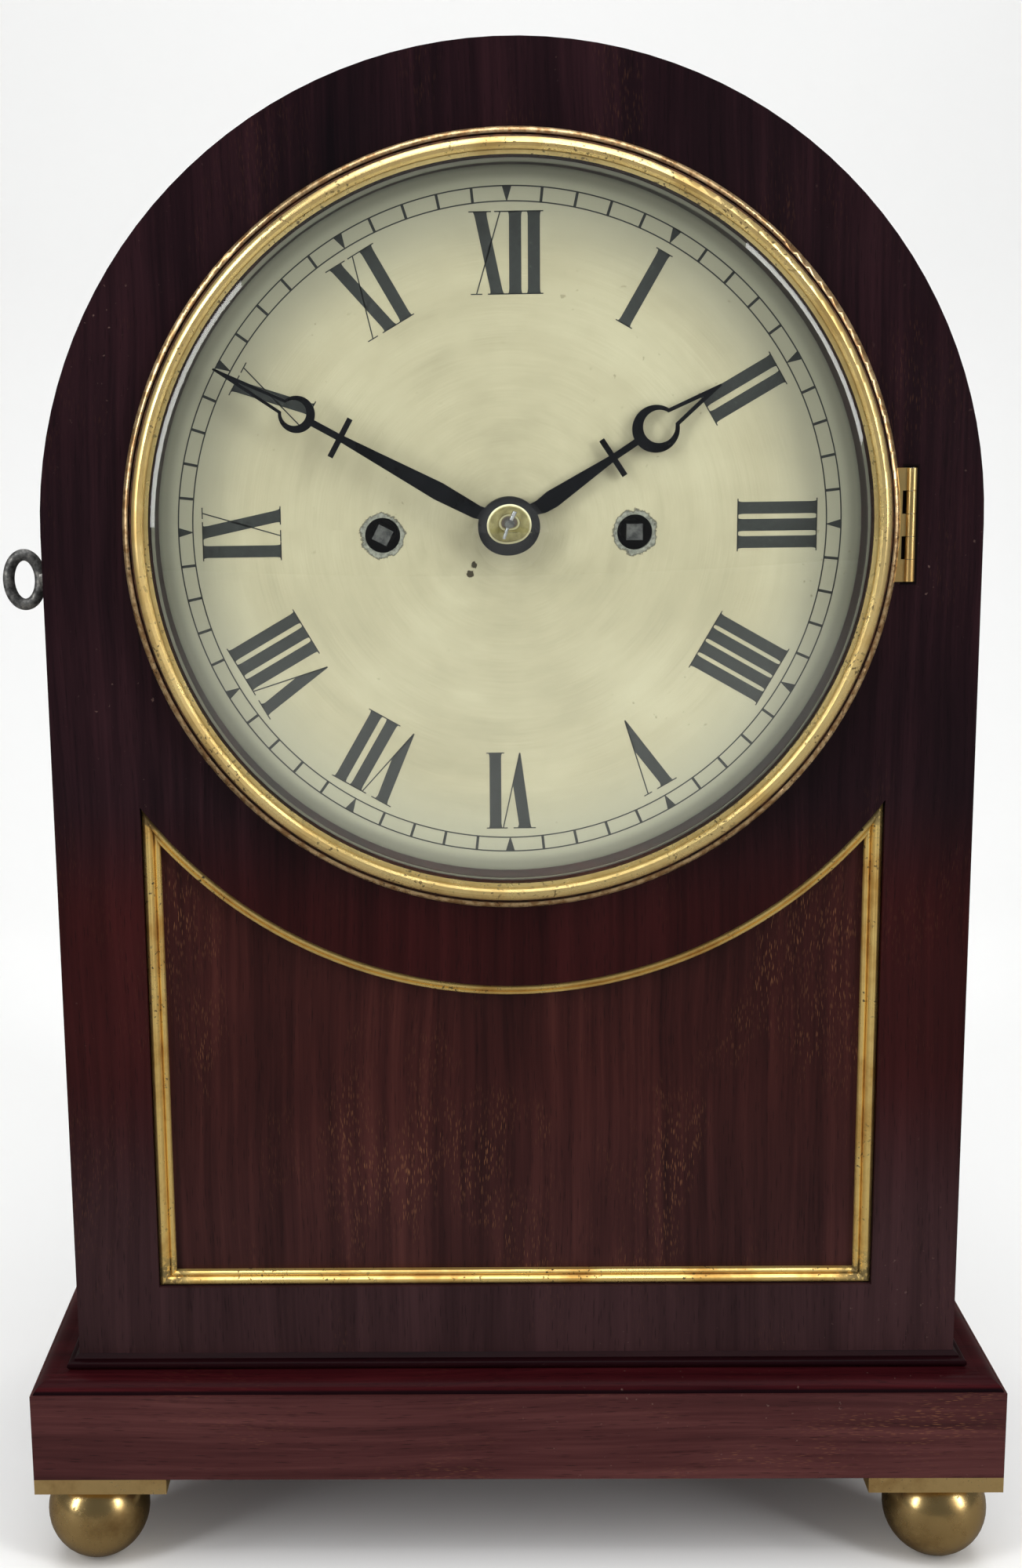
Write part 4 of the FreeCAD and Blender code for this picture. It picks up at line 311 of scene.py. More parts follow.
def bare_wood(name, dark, light):
    """Plain board inside the case: open grain, hardly any polish."""
    s = Shader(name)
    x, y, z = s.split(s.position())
    grain = s.noise(s.stretch(x, y, z, (8.0, 90.0, 90.0)), 1.0, 5.0, 0.6)
    rings = s.noise(s.stretch(x, y, z, (3.0, 40.0, 20.0)), 1.0)
    tone = s.math("ADD", s.math("MULTIPLY", grain, 0.5), s.math("MULTIPLY", rings, 0.5))
    return s.surface(
        Base_Color=s.ramp(tone, (0.35, dark), (0.65, light)),
        Roughness=s.range(grain, 0.2, 0.8, 0.5, 0.7), Normal=s.bump(grain, 0.2, 0.0002),
    )


INNER_WOOD = bare_wood("inner_oak", srgb(84, 52, 30), srgb(134, 92, 56))


# ---------------------------------------------------------------- metals
def metal(name, bright, dull, spots, roughness=0.2, tarnish=0.5, spot_share=0.4, corners=False, body=1.0):
    """Polished metal with patches of tarnish, dark specks and fine scratches."""
    s = Shader(name)
    place = s.position()
    patches = s.noise(place, 55.0, 5.0, 0.62)
    specks = s.noise(place, 900.0, 2.0, 0.5)
    cluster = s.noise(place, 70.0, 3.0, 0.6)
    x, y, z = s.split(place)
    lines = s.noise(s.stretch(x, y, z, (400.0, 400.0, 2600.0)), 1.0, 2.0)
    colour = s.mix(s.range(patches, 0.42, 0.70, 0.0, tarnish), bright, dull)
    where = s.range(cluster, 0.48, 0.62, 0.0, spot_share)
    spotted = s.math("MULTIPLY", s.range(specks, 0.60, 0.68), where)
    if corners:
        # Dirt has settled where the strips meet at the corners of the panel.
        off_x = s.math("SUBTRACT", PANEL_HIGH.x, s.math("ABSOLUTE", x))
        off_foot, off_head = (
            s.math("ABSOLUTE", s.math("SUBTRACT", z, end)) for end in (PANEL_LOW.z, PANEL_HIGH.z)
        )
        off = s.math("MAXIMUM", off_x, s.math("MINIMUM", off_foot, off_head))
        near = s.range(off, 12.0 * MM, 4.0 * MM, 0.0, 0.8)
        dirt = s.math("MULTIPLY", s.range(s.noise(place, 300.0, 4.0, 0.7), 0.44, 0.54), near)
        spotted = s.math("MAXIMUM", spotted, dirt)
    colour = s.mix(spotted, colour, spots)
    dulled = s.range(patches, 0.35, 0.75, roughness, roughness + 0.25 * tarnish)
    rough = s.math("ADD", dulled, s.math("MULTIPLY", spotted, 0.4))
    return s.surface(
        Base_Color=colour, Metallic=s.range(spotted, 0.0, 1.0, body, 0.35), Roughness=rough,
        Normal=s.bump(lines, 0.015, 0.0002),
    )


STRIP_BRASS = metal(
    "strip_brass", srgb(250, 218, 136), srgb(196, 148, 72), srgb(28, 16, 9), roughness=0.27, tarnish=0.85,
    spot_share=0.95, corners=True, body=0.8,
)
FOOT_BRASS = metal(
    "foot_brass", srgb(210, 180, 122), srgb(146, 112, 66), srgb(40, 26, 16), tarnish=0.8, spot_share=0.5
)
PAD_BRASS = metal(
    "pad_brass", srgb(222, 192, 132), srgb(168, 134, 82), srgb(48, 32, 18), roughness=0.42, tarnish=0.8,
    spot_share=0.6,
)
HINGE_BRASS = metal(
    "hinge_brass", srgb(240, 210, 140), srgb(206, 158, 90), srgb(54, 32, 16), roughness=0.30, tarnish=0.7,
    spot_share=0.5,
)
MOVEMENT_BRASS = metal(
    "movement_brass", srgb(220, 186, 110), srgb(200, 162, 88), srgb(90, 60, 30), roughness=0.32, tarnish=0.2,
    spot_share=0.1,
)
STEEL = metal(
    "steel", srgb(180, 182, 186), srgb(132, 132, 134), srgb(70, 52, 40), roughness=0.22, tarnish=0.4,
    spot_share=0.2,
)
BELL_METAL = metal(
    "bell_metal", srgb(206, 190, 142), srgb(160, 138, 92), srgb(84, 66, 40), roughness=0.32, tarnish=0.5,
    spot_share=0.2,
)


def fusee_brass():
    """A brass cone and great wheel on a steel arbor, whose front end is the winding square."""
    s = Shader("fusee_brass")
    place = s.position()
    _, y, _ = s.split(place)
    mottle = s.noise(place, 500.0, 4.0, 0.6)
    steel = s.ramp(mottle, (0.35, srgb(64, 65, 66)), (0.65, srgb(112, 112, 110)))
    brass = s.ramp(mottle, (0.35, srgb(176, 136, 70)), (0.65, srgb(216, 182, 104)))
    front = s.range(y, PLATE_FRONT + 0.2 * MM, PLATE_FRONT)
    return s.surface(
        Base_Color=s.mix(front, brass, steel), Metallic=s.range(front, 0.0, 1.0, 1.0, 0.55),
        Roughness=0.38, Normal=s.bump(mottle, 0.05, 0.0002),
    )


def plate_brass():
    """The front plate: polished brass, with painted shade near black round the two winding arbors."""
    s = Shader("plate_brass")
    place = s.position()
    x, _, z = s.split(place)
    patches = s.noise(place, 60.0, 5.0, 0.6)
    across = s.math("SUBTRACT", s.math("ABSOLUTE", x), WINDING_X)
    up = s.math("ADD", s.math("SUBTRACT", z, DIAL_Z), WINDING_DROP)
    far = s.distance(across, up)
    clean = s.ramp(patches, (0.38, srgb(182, 142, 74)), (0.66, srgb(220, 186, 108)))
    # Painted shade: near black round each winding arbor, where the plate lies behind the dial's winding
    # holes.
    arbor_shade = s.range(far, 18.0 * MM, 11.0 * MM)
    return s.surface(
        Base_Color=s.mix(arbor_shade, clean, srgb(9, 8, 7)), Metallic=s.range(arbor_shade, 0.0, 1.0, 1.0, 0.1),
        Roughness=0.4, Normal=s.bump(patches, 0.04, 0.0002),
    )


FUSEE_BRASS = fusee_brass()
PLATE_BRASS = plate_brass()


def collet_brass():
    """The collet over the hands: pale turned brass, a painted highlight on its rim, a painted highlight ring
    round the arbor's end.
    """
    s = Shader("collet_brass")
    place = s.position()
    x, _, z = s.split(place)
    up = s.math("SUBTRACT", z, DIAL_Z)
    far = s.distance(x, up)
    turned_lines = s.noise(s.join(s.math("MULTIPLY", far, 9000.0), 0.0, 0.0), 1.0, 2.0)
    cloud = s.noise(place, 420.0, 4.0, 0.6)
    colour = s.ramp(cloud, (0.35, srgb(128, 118, 70)), (0.65, srgb(168, 158, 106)))
    # Painted highlights: a light line on the rim and a light ring round the arbor's end.
    rim = s.range(far, 5.3 * MM, 5.5 * MM)
    colour = s.mix(s.math("MULTIPLY", rim, 0.8), colour, srgb(232, 226, 190))
    ring_highlight = s.math("MULTIPLY", s.range(far, 2.2 * MM, 2.4 * MM), s.range(far, 2.8 * MM, 2.6 * MM))
    colour = s.mix(s.math("MULTIPLY", ring_highlight, 0.85), colour, srgb(206, 200, 164))
    colour = s.mix(s.range(far, 2.2 * MM, 2.0 * MM), colour, srgb(96, 84, 76))
    return s.surface(
        Base_Color=colour, Metallic=0.75, Roughness=s.range(cloud, 0.3, 0.7, 0.36, 0.48),
        Normal=s.bump(turned_lines, 0.04, 0.0001),
    )


COLLET_BRASS = collet_brass()


def bezel_brass():
    """The bezel: pinkish rim, dirt in the groove, bright bead with specks."""
    s = Shader("bezel_brass")
    place = s.position()
    x, _, z = s.split(place)
    far = s.distance(x, s.math("SUBTRACT", z, DIAL_Z))
    patches = s.noise(place, 60.0, 5.0, 0.62)
    streak = s.noise(place, 420.0, 4.0, 0.6)
    bright = s.mix(s.range(patches, 0.42, 0.68, 0.0, 0.6), srgb(240, 212, 144), srgb(192, 154, 84))
    rim = s.mix(s.range(streak, 0.4, 0.62), srgb(214, 184, 138), srgb(160, 124, 82))
    groove = s.mix(s.range(streak, 0.38, 0.66), srgb(44, 26, 18), srgb(104, 66, 42))
    outer = s.range(far, BEZEL_RADIUS - 3.1 * MM, BEZEL_RADIUS - 2.8 * MM)
    in_groove = s.math("MULTIPLY", outer, s.range(far, BEZEL_RADIUS - 1.3 * MM, BEZEL_RADIUS - 1.7 * MM))
    colour = s.mix(outer, bright, rim)
    colour = s.mix(in_groove, colour, groove)
    specks = s.noise(place, 1000.0, 2.0, 0.5)
    cluster = s.noise(place, 90.0, 3.0, 0.6)
    spotted = s.math("MULTIPLY", s.range(specks, 0.58, 0.66), s.range(cluster, 0.46, 0.60, 0.0, 0.8))
    colour = s.mix(spotted, colour, srgb(46, 28, 14))
    rough = s.math("ADD", s.range(patches, 0.35, 0.75, 0.25, 0.36), s.math("MULTIPLY", in_groove, 0.3))
    return s.surface(
        Base_Color=colour, Metallic=s.range(s.math("ADD", in_groove, spotted), 0.0, 1.0, 0.8, 0.5),
        Roughness=rough, Normal=s.bump(streak, 0.02, 0.0002),
    )


BEZEL_BRASS = bezel_brass()


def key_iron():
    s = Shader("key_iron")
    place = s.position()
    mottle = s.noise(place, 420.0, 5.0, 0.7)
    colour = s.ramp(
        mottle, (0.36, srgb(52, 52, 52)), (0.52, srgb(104, 104, 102)), (0.66, srgb(150, 148, 142))
    )
    return s.surface(
        Base_Color=colour, Metallic=0.6, Roughness=s.range(mottle, 0.3, 0.7, 0.6, 0.38),
        Normal=s.bump(mottle, 0.25, 0.0004),
    )


KEY_IRON = key_iron()


def blued_steel():
    s = Shader("blued_steel")
    place = s.position()
    cloud = s.noise(place, 120.0, 4.0, 0.6)
    colour = s.ramp(cloud, (0.35, srgb(2, 3, 5)), (0.65, srgb(9, 10, 15)))
    return s.surface(
        Base_Color=colour, Roughness=s.range(cloud, 0.3, 0.7, 0.24, 0.4), Specular_IOR_Level=0.12,
        Normal=s.bump(s.noise(place, 2200.0, 2.0), 0.03, 0.0001),
    )


BLUED_STEEL = blued_steel()


# ---------------------------------------------------------------- dial
def silvered():
    """Silvered brass, circularly grained, lacquer yellowed in the middle, greyer at the rim, with painted
    shade darkening it under the bezel.
    """
    s = Shader("silvered_dial")
    place = s.position()
    x, _, z = s.split(place)
    up = s.math("SUBTRACT", z, DIAL_Z)
    far = s.distance(x, up)
    turn = s.math("ARCTAN2", up, x)
    rings = s.noise(s.grid(far, 5200.0, turn, 2.2), 1.0, 3.0, 0.6)
    cloud = s.noise(place, 22.0, 4.0, 0.6)
    wiped = s.noise(s.grid(far, 160.0, turn, 1.6), 1.0, 3.0, 0.6)
    worn = s.math("ADD", s.math("MULTIPLY", cloud, 0.5), s.math("MULTIPLY", wiped, 0.28))
    tone = s.math("ADD", s.math("MULTIPLY", rings, 0.22), worn)
    colour = s.ramp(
        tone, (0.36, srgb(165, 158, 131)), (0.5, srgb(179, 171, 143)), (0.66, srgb(192, 185, 157))
    )
    colour = s.mix(s.range(far, YELLOW_END, GREY_START, 0.0, 0.85), colour, srgb(170, 168, 149))
    # Painted shade: the dial darkens towards the bezel, whose shadow lies on its rim.
    colour = s.mix(s.range(far, SHADE_START, SHADE_MIDDLE, 0.0, 0.85), colour, srgb(134, 133, 117))
    colour = s.mix(s.range(far, SHADE_MIDDLE, SHADE_END, 0.0, 0.9), colour, srgb(74, 73, 64))
    # The silvering has chipped to grey round each winding hole.
    for side in (-1.0, 1.0):
        edge = s.distance(s.math("SUBTRACT", x, side * WINDING_X), s.math("ADD", up, WINDING_DROP))
        ragged = s.math("SUBTRACT", s.noise(place, 330.0, 4.0, 0.7), 0.5)
        torn = s.math("ADD", edge, s.math("MULTIPLY", ragged, 3.4 * MM))
        chipped = s.range(torn, 5.85 * MM, 5.7 * MM)
        outline = s.math("MULTIPLY", s.range(torn, 6.1 * MM, 5.9 * MM), s.range(torn, 5.5 * MM, 5.7 * MM))
        bare = s.ramp(s.noise(place, 900.0, 3.0), (0.35, srgb(98, 99, 92)), (0.65, srgb(150, 151, 140)))
        colour = s.mix(chipped, colour, bare)
        colour = s.mix(s.math("MULTIPLY", outline, 0.75), colour, srgb(70, 66, 54))
    # Small chips below and left of the centre, and faint marks here and there.
    for chip_x, chip_z, size in CHIPS:
        near = s.distance(s.math("SUBTRACT", x, chip_x), s.math("SUBTRACT", up, chip_z))
        ragged = s.math("SUBTRACT", s.noise(place, 1300.0, 3.0), 0.5)
        near = s.math("ADD", near, s.math("MULTIPLY", ragged, 1.1 * MM))
        colour = s.mix(s.range(near, size, size * 0.8), colour, srgb(58, 50, 32))
    marks = s.range(s.noise(place, 520.0, 2.0, 0.5), 0.70, 0.76)
    specks = s.math("MULTIPLY", marks, s.range(cloud, 0.5, 0.62, 0.0, 0.5))
    colour = s.mix(specks, colour, srgb(120, 112, 84))
    return s.surface(
        Base_Color=colour, Metallic=0.12, Roughness=s.range(rings, 0.3, 0.7, 0.42, 0.52),
        Normal=s.bump(rings, 0.03, 0.0001),
    )


SILVERED = silvered()


def wax():
    s = Shader("black_wax")
    place = s.position()
    worn = s.noise(place, 700.0, 4.0, 0.65)
    colour = s.ramp(worn, (0.3, srgb(22, 26, 24)), (0.62, srgb(38, 42, 40)), (0.78, srgb(74, 76, 68)))
    return s.surface(
        Base_Color=colour, Roughness=s.range(worn, 0.3, 0.7, 0.5, 0.65), Normal=s.bump(worn, 0.1, 0.0001)
    )


WAX = wax()


# ---------------------------------------------------------------- glass
def glass(name, tint):
    """Clear glass that lets lamps through to what stands behind it."""
    s = Shader(name)
    smear = s.noise(s.position(), 60.0, 4.0, 0.6)
    clear = s.node("ShaderNodeBsdfPrincipled")
    clear.inputs["Base Color"].default_value = tint
    clear.inputs["Transmission Weight"].default_value = 1.0
    clear.inputs["IOR"].default_value = 1.45
    s.feed(clear.inputs["Roughness"], s.range(smear, 0.3, 0.8, 0.0, 0.015))
    open_way = s.node("ShaderNodeBsdfTransparent")
    open_way.inputs[0].default_value = tint
    path = s.node("ShaderNodeLightPath")
    mixed = s.node("ShaderNodeMixShader")
    s.feed(mixed.inputs[0], path.outputs["Is Shadow Ray"])
    s.feed(mixed.inputs[1], clear.outputs[0])
    s.feed(mixed.inputs[2], open_way.outputs[0])
    s.tree.links.new(mixed.outputs[0], s.output.inputs["Surface"])
    return s.material


BEZEL_GLASS = glass("bezel_glass_clear", (0.97, 0.99, 0.97, 1.0))
DOOR_GLASS = glass("door_glass_clear", (0.95, 0.98, 0.96, 1.0))


def gut():
    s = Shader("gut_line")
    place = s.position()
    twist = s.noise(place, 900.0, 3.0)
    return s.surface(
        Base_Color=s.ramp(twist, (0.35, srgb(150, 118, 70)), (0.65, srgb(196, 164, 110))), Roughness=0.5,
        Normal=s.bump(twist, 0.3, 0.0002),
    )


GUT = gut()

LOOKS = {
    "case_shell": SIDE_WOOD, "front_board": BOARD_WOOD, "front_panel": PANEL_WOOD, "case_floor": INNER_WOOD,
    "back_frame": CASE_WOOD, "plinth": PLINTH_WOOD, "plinth_moulding": MOULDING_WOOD, "seatboard": INNER_WOOD,
    "foot_pads": PAD_BRASS, "ball_feet": FOOT_BRASS, "lock_case": MOVEMENT_BRASS, "lock_bolt": STEEL,
    "key": KEY_IRON, "strip_arc": STRIP_BRASS, "strip_bottom": STRIP_BRASS, "strip_sides": STRIP_BRASS,
    "bezel_ring": BEZEL_BRASS, "bezel_glass": BEZEL_GLASS, "glass_ring": BEZEL_BRASS,
    "bezel_hinge_leaf": HINGE_BRASS, "case_hinge_leaf": HINGE_BRASS, "hinge_pins": STEEL,
    "bezel_staple": HINGE_BRASS, "back_door": CASE_WOOD, "back_glass": DOOR_GLASS,
    "back_door_leaves": HINGE_BRASS, "back_case_leaves": HINGE_BRASS, "back_turn": HINGE_BRASS,
    "dial_plate": SILVERED, "minute_hand": BLUED_STEEL, "hour_hand": BLUED_STEEL, "hand_collet": COLLET_BRASS,
    "hand_pin": STEEL, "front_plate": PLATE_BRASS, "back_plate": MOVEMENT_BRASS, "pillars": MOVEMENT_BRASS,
    "back_cock": MOVEMENT_BRASS, "gut_lines": GUT, "bell": BELL_METAL, "bell_stand": STEEL,
    "going_fusee": FUSEE_BRASS, "going_barrel": MOVEMENT_BRASS, "centre_wheel": FUSEE_BRASS,
    "third_wheel": MOVEMENT_BRASS, "escape_wheel": MOVEMENT_BRASS, "pallets": STEEL,
    "suspension_spring": STEEL, "pendulum_rod": STEEL, "pendulum_bob": MOVEMENT_BRASS,
    "rating_nut": MOVEMENT_BRASS,
    "cannon_pinion": MOVEMENT_BRASS, "minute_wheel": MOVEMENT_BRASS, "hour_wheel": MOVEMENT_BRASS,
    "strike_fusee": FUSEE_BRASS, "strike_barrel": MOVEMENT_BRASS, "pin_wheel": MOVEMENT_BRASS,
    "gathering_wheel": MOVEMENT_BRASS, "warning_wheel": MOVEMENT_BRASS, "fly": MOVEMENT_BRASS,
    "hammer": STEEL,
}
for name, node in NODES.items():
    node.data.materials.clear()
    node.data.materials.append(LOOKS[name])


# ---------------------------------------------------------------- drawing on the dial
INK_Y = DIAL_FACE - INK_PROUD


def ink_plate(bm, outline):
    """A thin plate of ink from a closed outline of (across, up) points on the dial."""
    front = [bm.verts.new((u, INK_Y, DIAL_Z + v)) for u, v in outline]
    back = [bm.verts.new((u, INK_Y + INK_THICK, DIAL_Z + v)) for u, v in outline]
    bm.faces.new(front)
    bm.faces.new(list(reversed(back)))
    count = len(outline)
    for i in range(count):
        bm.faces.new((front[i], back[i], back[(i + 1) % count], front[(i + 1) % count]))


def ink_ring(bm, radius, line, steps=360):
    for i in range(steps):
        a = 2.0 * math.pi * i / steps
        b = 2.0 * math.pi * (i + 1) / steps
        inner, outer = radius - line / 2.0, radius + line / 2.0
        ink_plate(bm, [
            (inner * math.sin(a), inner * math.cos(a)), (outer * math.sin(a), outer * math.cos(a)),
            (outer * math.sin(b), outer * math.cos(b)), (inner * math.sin(b), inner * math.cos(b)),
        ])


def turned(points, bearing):
    """Turns points of (across, up) clockwise by a bearing, so that up points away from the centre."""
    c, s = math.cos(bearing), math.sin(bearing)
    return [(u * c + v * s, -u * s + v * c) for u, v in points]


def build_minute_ring(bm):
    ink_ring(bm, RING_OUTER, RING_LINE)
    ink_ring(bm, RING_INNER, RING_LINE)
    for minute in range(60):
        bearing = math.radians(6.0 * minute)
        if minute % 5 == 0:
            half = 1.25 * MM
            mark = [(-half, RING_OUTER), (half, RING_OUTER), (0.1 * MM, RING_INNER), (-0.1 * MM, RING_INNER)]
        else:
            half = TICK_LINE / 2.0
            mark = [(-half, RING_INNER), (-half, RING_OUTER), (half, RING_OUTER), (half, RING_INNER)]
        ink_plate(bm, turned(mark, bearing))


STROKE = 3.15 * MM
FLARE = 0.32 * MM
HAIR = 0.34 * MM
SERIF = 0.30 * MM
SERIF_REACH = 0.85 * MM
V_WIDE = 7.4 * MM
X_WIDE = 8.6 * MM
HAIR_SERIF = 1.5 * MM
NUMERALS = ("XII", "I", "II", "III", "IIII", "V", "VI", "VII", "VIII", "IX", "X", "XI")
STROKE_PITCH = {1: 4.85 * MM, 2: 4.85 * MM, 3: 4.5 * MM, 4: 4.2 * MM}


def stroke(low_at, high_at):
    """A thick stroke from the foot to the head of a numeral, flared a little at both ends."""
    low, high = NUMERAL_INNER, NUMERAL_OUTER
    half = STROKE / 2.0
    flare_tall = 1.3 * MM

    def centre(v):
        return low_at + (high_at - low_at) * (v - low) / (high - low)

    left = [(low, FLARE), (low + 0.35 * flare_tall, 0.3 * FLARE), (low + flare_tall, 0.0)]
    left += [(high - flare_tall, 0.0), (high - 0.35 * flare_tall, 0.3 * FLARE), (high, FLARE)]
    outline = [(centre(v) - half - extra, v) for v, extra in left]
    outline += [(centre(v) + half + extra, v) for v, extra in reversed(left)]
    return outline


def hairline(low_at, high_at):
    half = HAIR / 2.0
    return [
        (low_at - half, NUMERAL_INNER), (high_at - half, NUMERAL_OUTER),
        (high_at + half, NUMERAL_OUTER), (low_at + half, NUMERAL_INNER),
    ]


def serif(at, reach, end):
    """The fine line across a stroke's head or foot."""
    v0, v1 = (NUMERAL_OUTER - SERIF / 2.0, NUMERAL_OUTER + SERIF / 2.0)
    if end == "foot":
        v0, v1 = (NUMERAL_INNER - SERIF / 2.0, NUMERAL_INNER + SERIF / 2.0)
    return [(at - reach, v0), (at - reach, v1), (at + reach, v1), (at + reach, v0)]


def letter(c, u):
    """Outlines of one Roman letter whose left side is at u.  Feet point to the centre of the dial."""
    thick_serif = STROKE / 2.0 + SERIF_REACH
    if c == "I":
        at = u + STROKE / 2.0
        return [stroke(at, at), serif(at, thick_serif, "head"), serif(at, thick_serif, "foot")]
    if c == "V":
        apex = u + 2.75 * MM
        head = u + STROKE / 2.0
        hair_head = u + V_WIDE
        # The thick stroke narrows to the apex where the hairline cuts it off.
        cut = 0.41
        right = head + STROKE / 2.0
        lean = apex - (head - STROKE / 2.0)
        corner = (right + lean * (1.0 - cut), NUMERAL_INNER + cut * (NUMERAL_OUTER - NUMERAL_INNER))
        thick = [
            (apex - 0.1 * MM, NUMERAL_INNER), (head - STROKE / 2.0, NUMERAL_OUTER - 1.0 * MM),
            (head - STROKE / 2.0 - FLARE, NUMERAL_OUTER), (right + FLARE, NUMERAL_OUTER),
            (right, NUMERAL_OUTER - 1.0 * MM), corner, (apex + 0.2 * MM, NUMERAL_INNER),
        ]
        return [
            thick, hairline(apex + 0.1 * MM, hair_head),
            serif(head, thick_serif + 0.6 * MM, "head"), serif(hair_head, HAIR_SERIF * 0.8, "head"),
        ]
    head = u + STROKE / 2.0
    foot = head + 4.4 * MM
    hair_foot = u + 0.6 * MM
    hair_head = hair_foot + 6.2 * MM
    return [
        stroke(foot, head), hairline(hair_foot, hair_head),
        serif(head, thick_serif + 0.5 * MM, "head"), serif(foot, thick_serif, "foot"),
        serif(hair_head, HAIR_SERIF, "head"), serif(hair_foot, HAIR_SERIF, "foot"),
    ]


def advance(c, following, ones):
    """How far the next letter's left side lies from this one's."""
    if c == "I":
        return STROKE_PITCH[ones] if following == "I" else STROKE + 1.9 * MM
    return (V_WIDE if c == "V" else X_WIDE) + 0.5 * MM


def build_numerals(bm):
    for hour, text in enumerate(NUMERALS):
        ones = max(1, text.count("I"))
        places = []
        u = 0.0
        for c, following in zip(text, text[1:] + " "):
            places.append((c, u))
            u += advance(c, following, ones)
        last_wide = {"I": STROKE, "V": V_WIDE, "X": X_WIDE}[text[-1]]
        whole = places[-1][1] + last_wide
        for c, at in places:
            for plate in letter(c, at - whole / 2.0):
                ink_plate(bm, turned(plate, math.radians(30.0 * hour)))


shape_object("minute_ring", build_minute_ring, WAX, "case")
shape_object("hour_numerals", build_numerals, WAX, "case")


# ---------------------------------------------------------------- stage: floor, backdrop, lamps and camera
def stage_material(name, tone):
    """Pale paper that takes the shadow.  In polished surfaces it shows as the dim room in front."""
    s = Shader(name)
    cloud = s.noise(s.position(), 2.0, 2.0)
    bright = s.ramp(cloud, (0.3, tone), (0.7, tuple(min(1.0, c * 1.02) for c in tone[:3]) + (1.0,)))
    path = s.node("ShaderNodeLightPath")
    seen_through = s.math("SUBTRACT", 1.0, path.outputs["Is Transmission Ray"])
    mirrored = s.math("MULTIPLY", path.outputs["Is Glossy Ray"], seen_through)
    colour = s.mix(mirrored, bright, srgb(132, 128, 124))
    paper = s.node("ShaderNodeBsdfPrincipled")
    s.feed(paper.inputs["Base Color"], colour)
    paper.inputs["Roughness"].default_value = 0.7
    paper.inputs["Specular IOR Level"].default_value = 0.1
    # A camera behind the backdrop looks through it.
    back_side = s.node("ShaderNodeNewGeometry").outputs["Backfacing"]
    behind = s.math("MULTIPLY", back_side, path.outputs["Is Camera Ray"])
    mixed = s.node("ShaderNodeMixShader")
    s.feed(mixed.inputs[0], behind)
    s.feed(mixed.inputs[1], paper.outputs[0])
    s.feed(mixed.inputs[2], s.node("ShaderNodeBsdfTransparent").outputs[0])
    s.tree.links.new(mixed.outputs[0], s.output.inputs["Surface"])
    return s.material


def build_floor(bm):
    """Floor that sweeps up behind the object into a backdrop."""
    half, front, back, height, radius, steps = 2.6, -2.2, 1.1, 2.6, 0.45, 12
    profile = [(front, 0.0), (back - radius, 0.0)]
    for i in range(1, steps + 1):
        a = math.radians(90.0 * i / steps)
        profile.append((back - radius + radius * math.sin(a), radius - radius * math.cos(a)))
    profile.append((back, height))
    rows = [[bm.verts.new((x, y, z)) for y, z in profile] for x in (-half, half)]
    for i in range(len(profile) - 1):
        bm.faces.new((rows[0][i], rows[1][i], rows[1][i + 1], rows[0][i + 1]))


floor_mesh = bpy.data.meshes.new("floor")
floor_bm = bmesh.new()
build_floor(floor_bm)
floor_bm.to_mesh(floor_mesh)
floor_bm.free()
for face in floor_mesh.polygons:
    face.use_smooth = True
floor = bpy.data.objects.new("floor", floor_mesh)
floor_mesh.materials.append(stage_material("pale_paper", srgb(244, 244, 243)))
bpy.context.scene.collection.objects.link(floor)


def lamp(name, place, aim, size, size_y, power):
    data = bpy.data.lights.new(name, "AREA")
    data.shape = "RECTANGLE"
    data.size = size
    data.size_y = size_y
    data.energy = power
    made = bpy.data.objects.new(name, data)
    made.location = place
    made.rotation_euler = (Vector(aim) - Vector(place)).to_track_quat("-Z", "Y").to_euler()
    bpy.context.scene.collection.objects.link(made)
    return made


lamp("left_soft", (-0.95, -0.75, 0.75), (0.0, 0.0, 0.25), 0.25, 1.1, 7.8)
lamp("right_soft", (0.95, -0.75, 0.75), (0.0, 0.0, 0.25), 0.25, 1.1, 8.6)
lamp("top_soft", (0.0, -0.35, 1.5), (0.0, 0.0, 0.2), 1.2, 0.9, 12.0)
lamp("back_soft", (0.0, 0.9, 1.7), (0.0, 0.4, 0.2), 1.6, 0.8, 12.0)

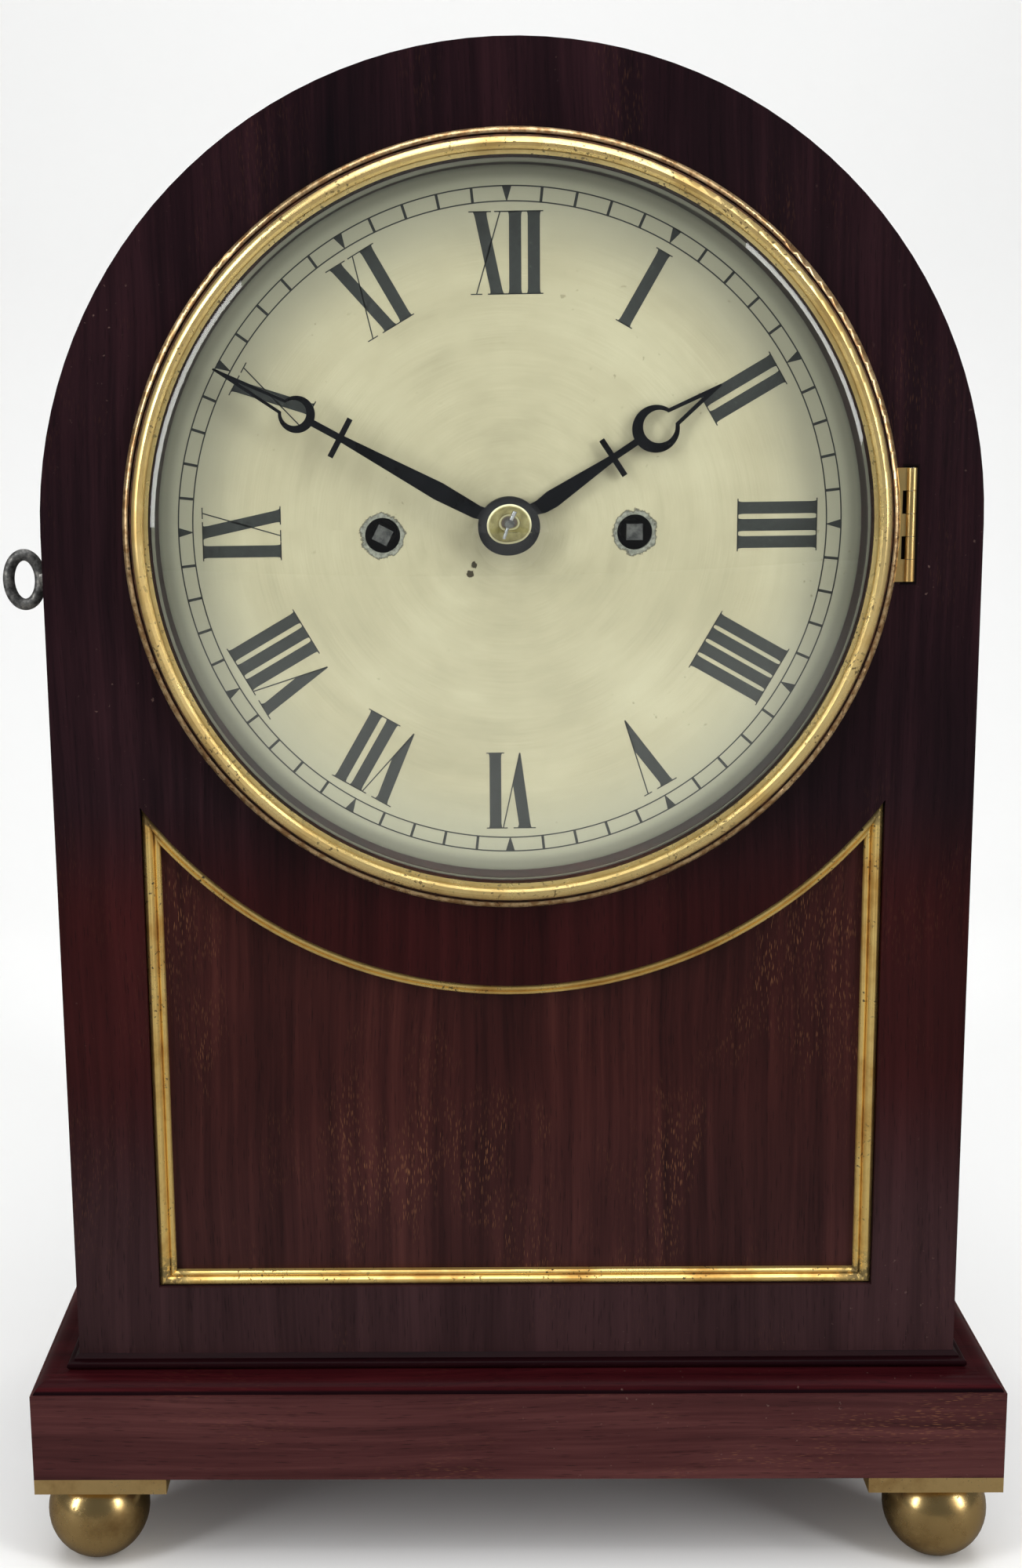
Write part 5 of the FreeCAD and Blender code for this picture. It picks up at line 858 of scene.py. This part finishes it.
SKY_LIGHT = 0.16
world = bpy.data.worlds.new("studio")
bpy.context.scene.world = world
world.use_nodes = True
sky = world.node_tree.nodes["Background"]
sky.inputs[0].default_value = srgb(236, 238, 242)
# The sky lights the object faintly, but looks white where the camera sees past the floor.
sky_path = world.node_tree.nodes.new("ShaderNodeLightPath")
sky_strength = world.node_tree.nodes.new("ShaderNodeMath")
sky_strength.operation = "MULTIPLY_ADD"
sky_strength.inputs[1].default_value = 1.0 - SKY_LIGHT
sky_strength.inputs[2].default_value = SKY_LIGHT
world.node_tree.links.new(sky_path.outputs["Is Camera Ray"], sky_strength.inputs[0])
world.node_tree.links.new(sky_strength.outputs[0], sky.inputs[1])

# The camera was fitted to the photograph: the dial's circles, the case, the panel and the plinth.
CAMERA_AT = Vector((-14.867 * MM, -581.41 * MM, 324.64 * MM))
CAMERA_YAW = 0.0233
CAMERA_PITCH = 0.1789
CAMERA_ROLL = -0.015
PHOTO_WIDE, PHOTO_TALL = 1303.0, 2000.0
FOCAL_PIXELS = 2488.95
CENTRE_PIXEL = (522.97, 971.12)
SENSOR = 36.0

camera_data = bpy.data.cameras.new("camera")
camera_data.sensor_fit = "AUTO"
camera_data.sensor_width = SENSOR
camera_data.lens = FOCAL_PIXELS / PHOTO_TALL * SENSOR
camera_data.shift_x = (PHOTO_WIDE / 2.0 - CENTRE_PIXEL[0]) / PHOTO_TALL
camera_data.shift_y = (CENTRE_PIXEL[1] - PHOTO_TALL / 2.0) / PHOTO_TALL
camera_data.clip_start = 0.01
camera = bpy.data.objects.new("camera", camera_data)
bpy.context.scene.collection.objects.link(camera)
turn = Matrix.Rotation(CAMERA_YAW, 3, "Z") @ Matrix.Rotation(math.pi / 2.0 - CAMERA_PITCH, 3, "X")
turn = turn @ Matrix.Rotation(CAMERA_ROLL, 3, "Z")
camera.matrix_world = Matrix.Translation(CAMERA_AT) @ turn.to_4x4()
bpy.context.scene.camera = camera
bpy.context.scene.view_settings.view_transform = "Standard"

bpy.context.view_layer.update()
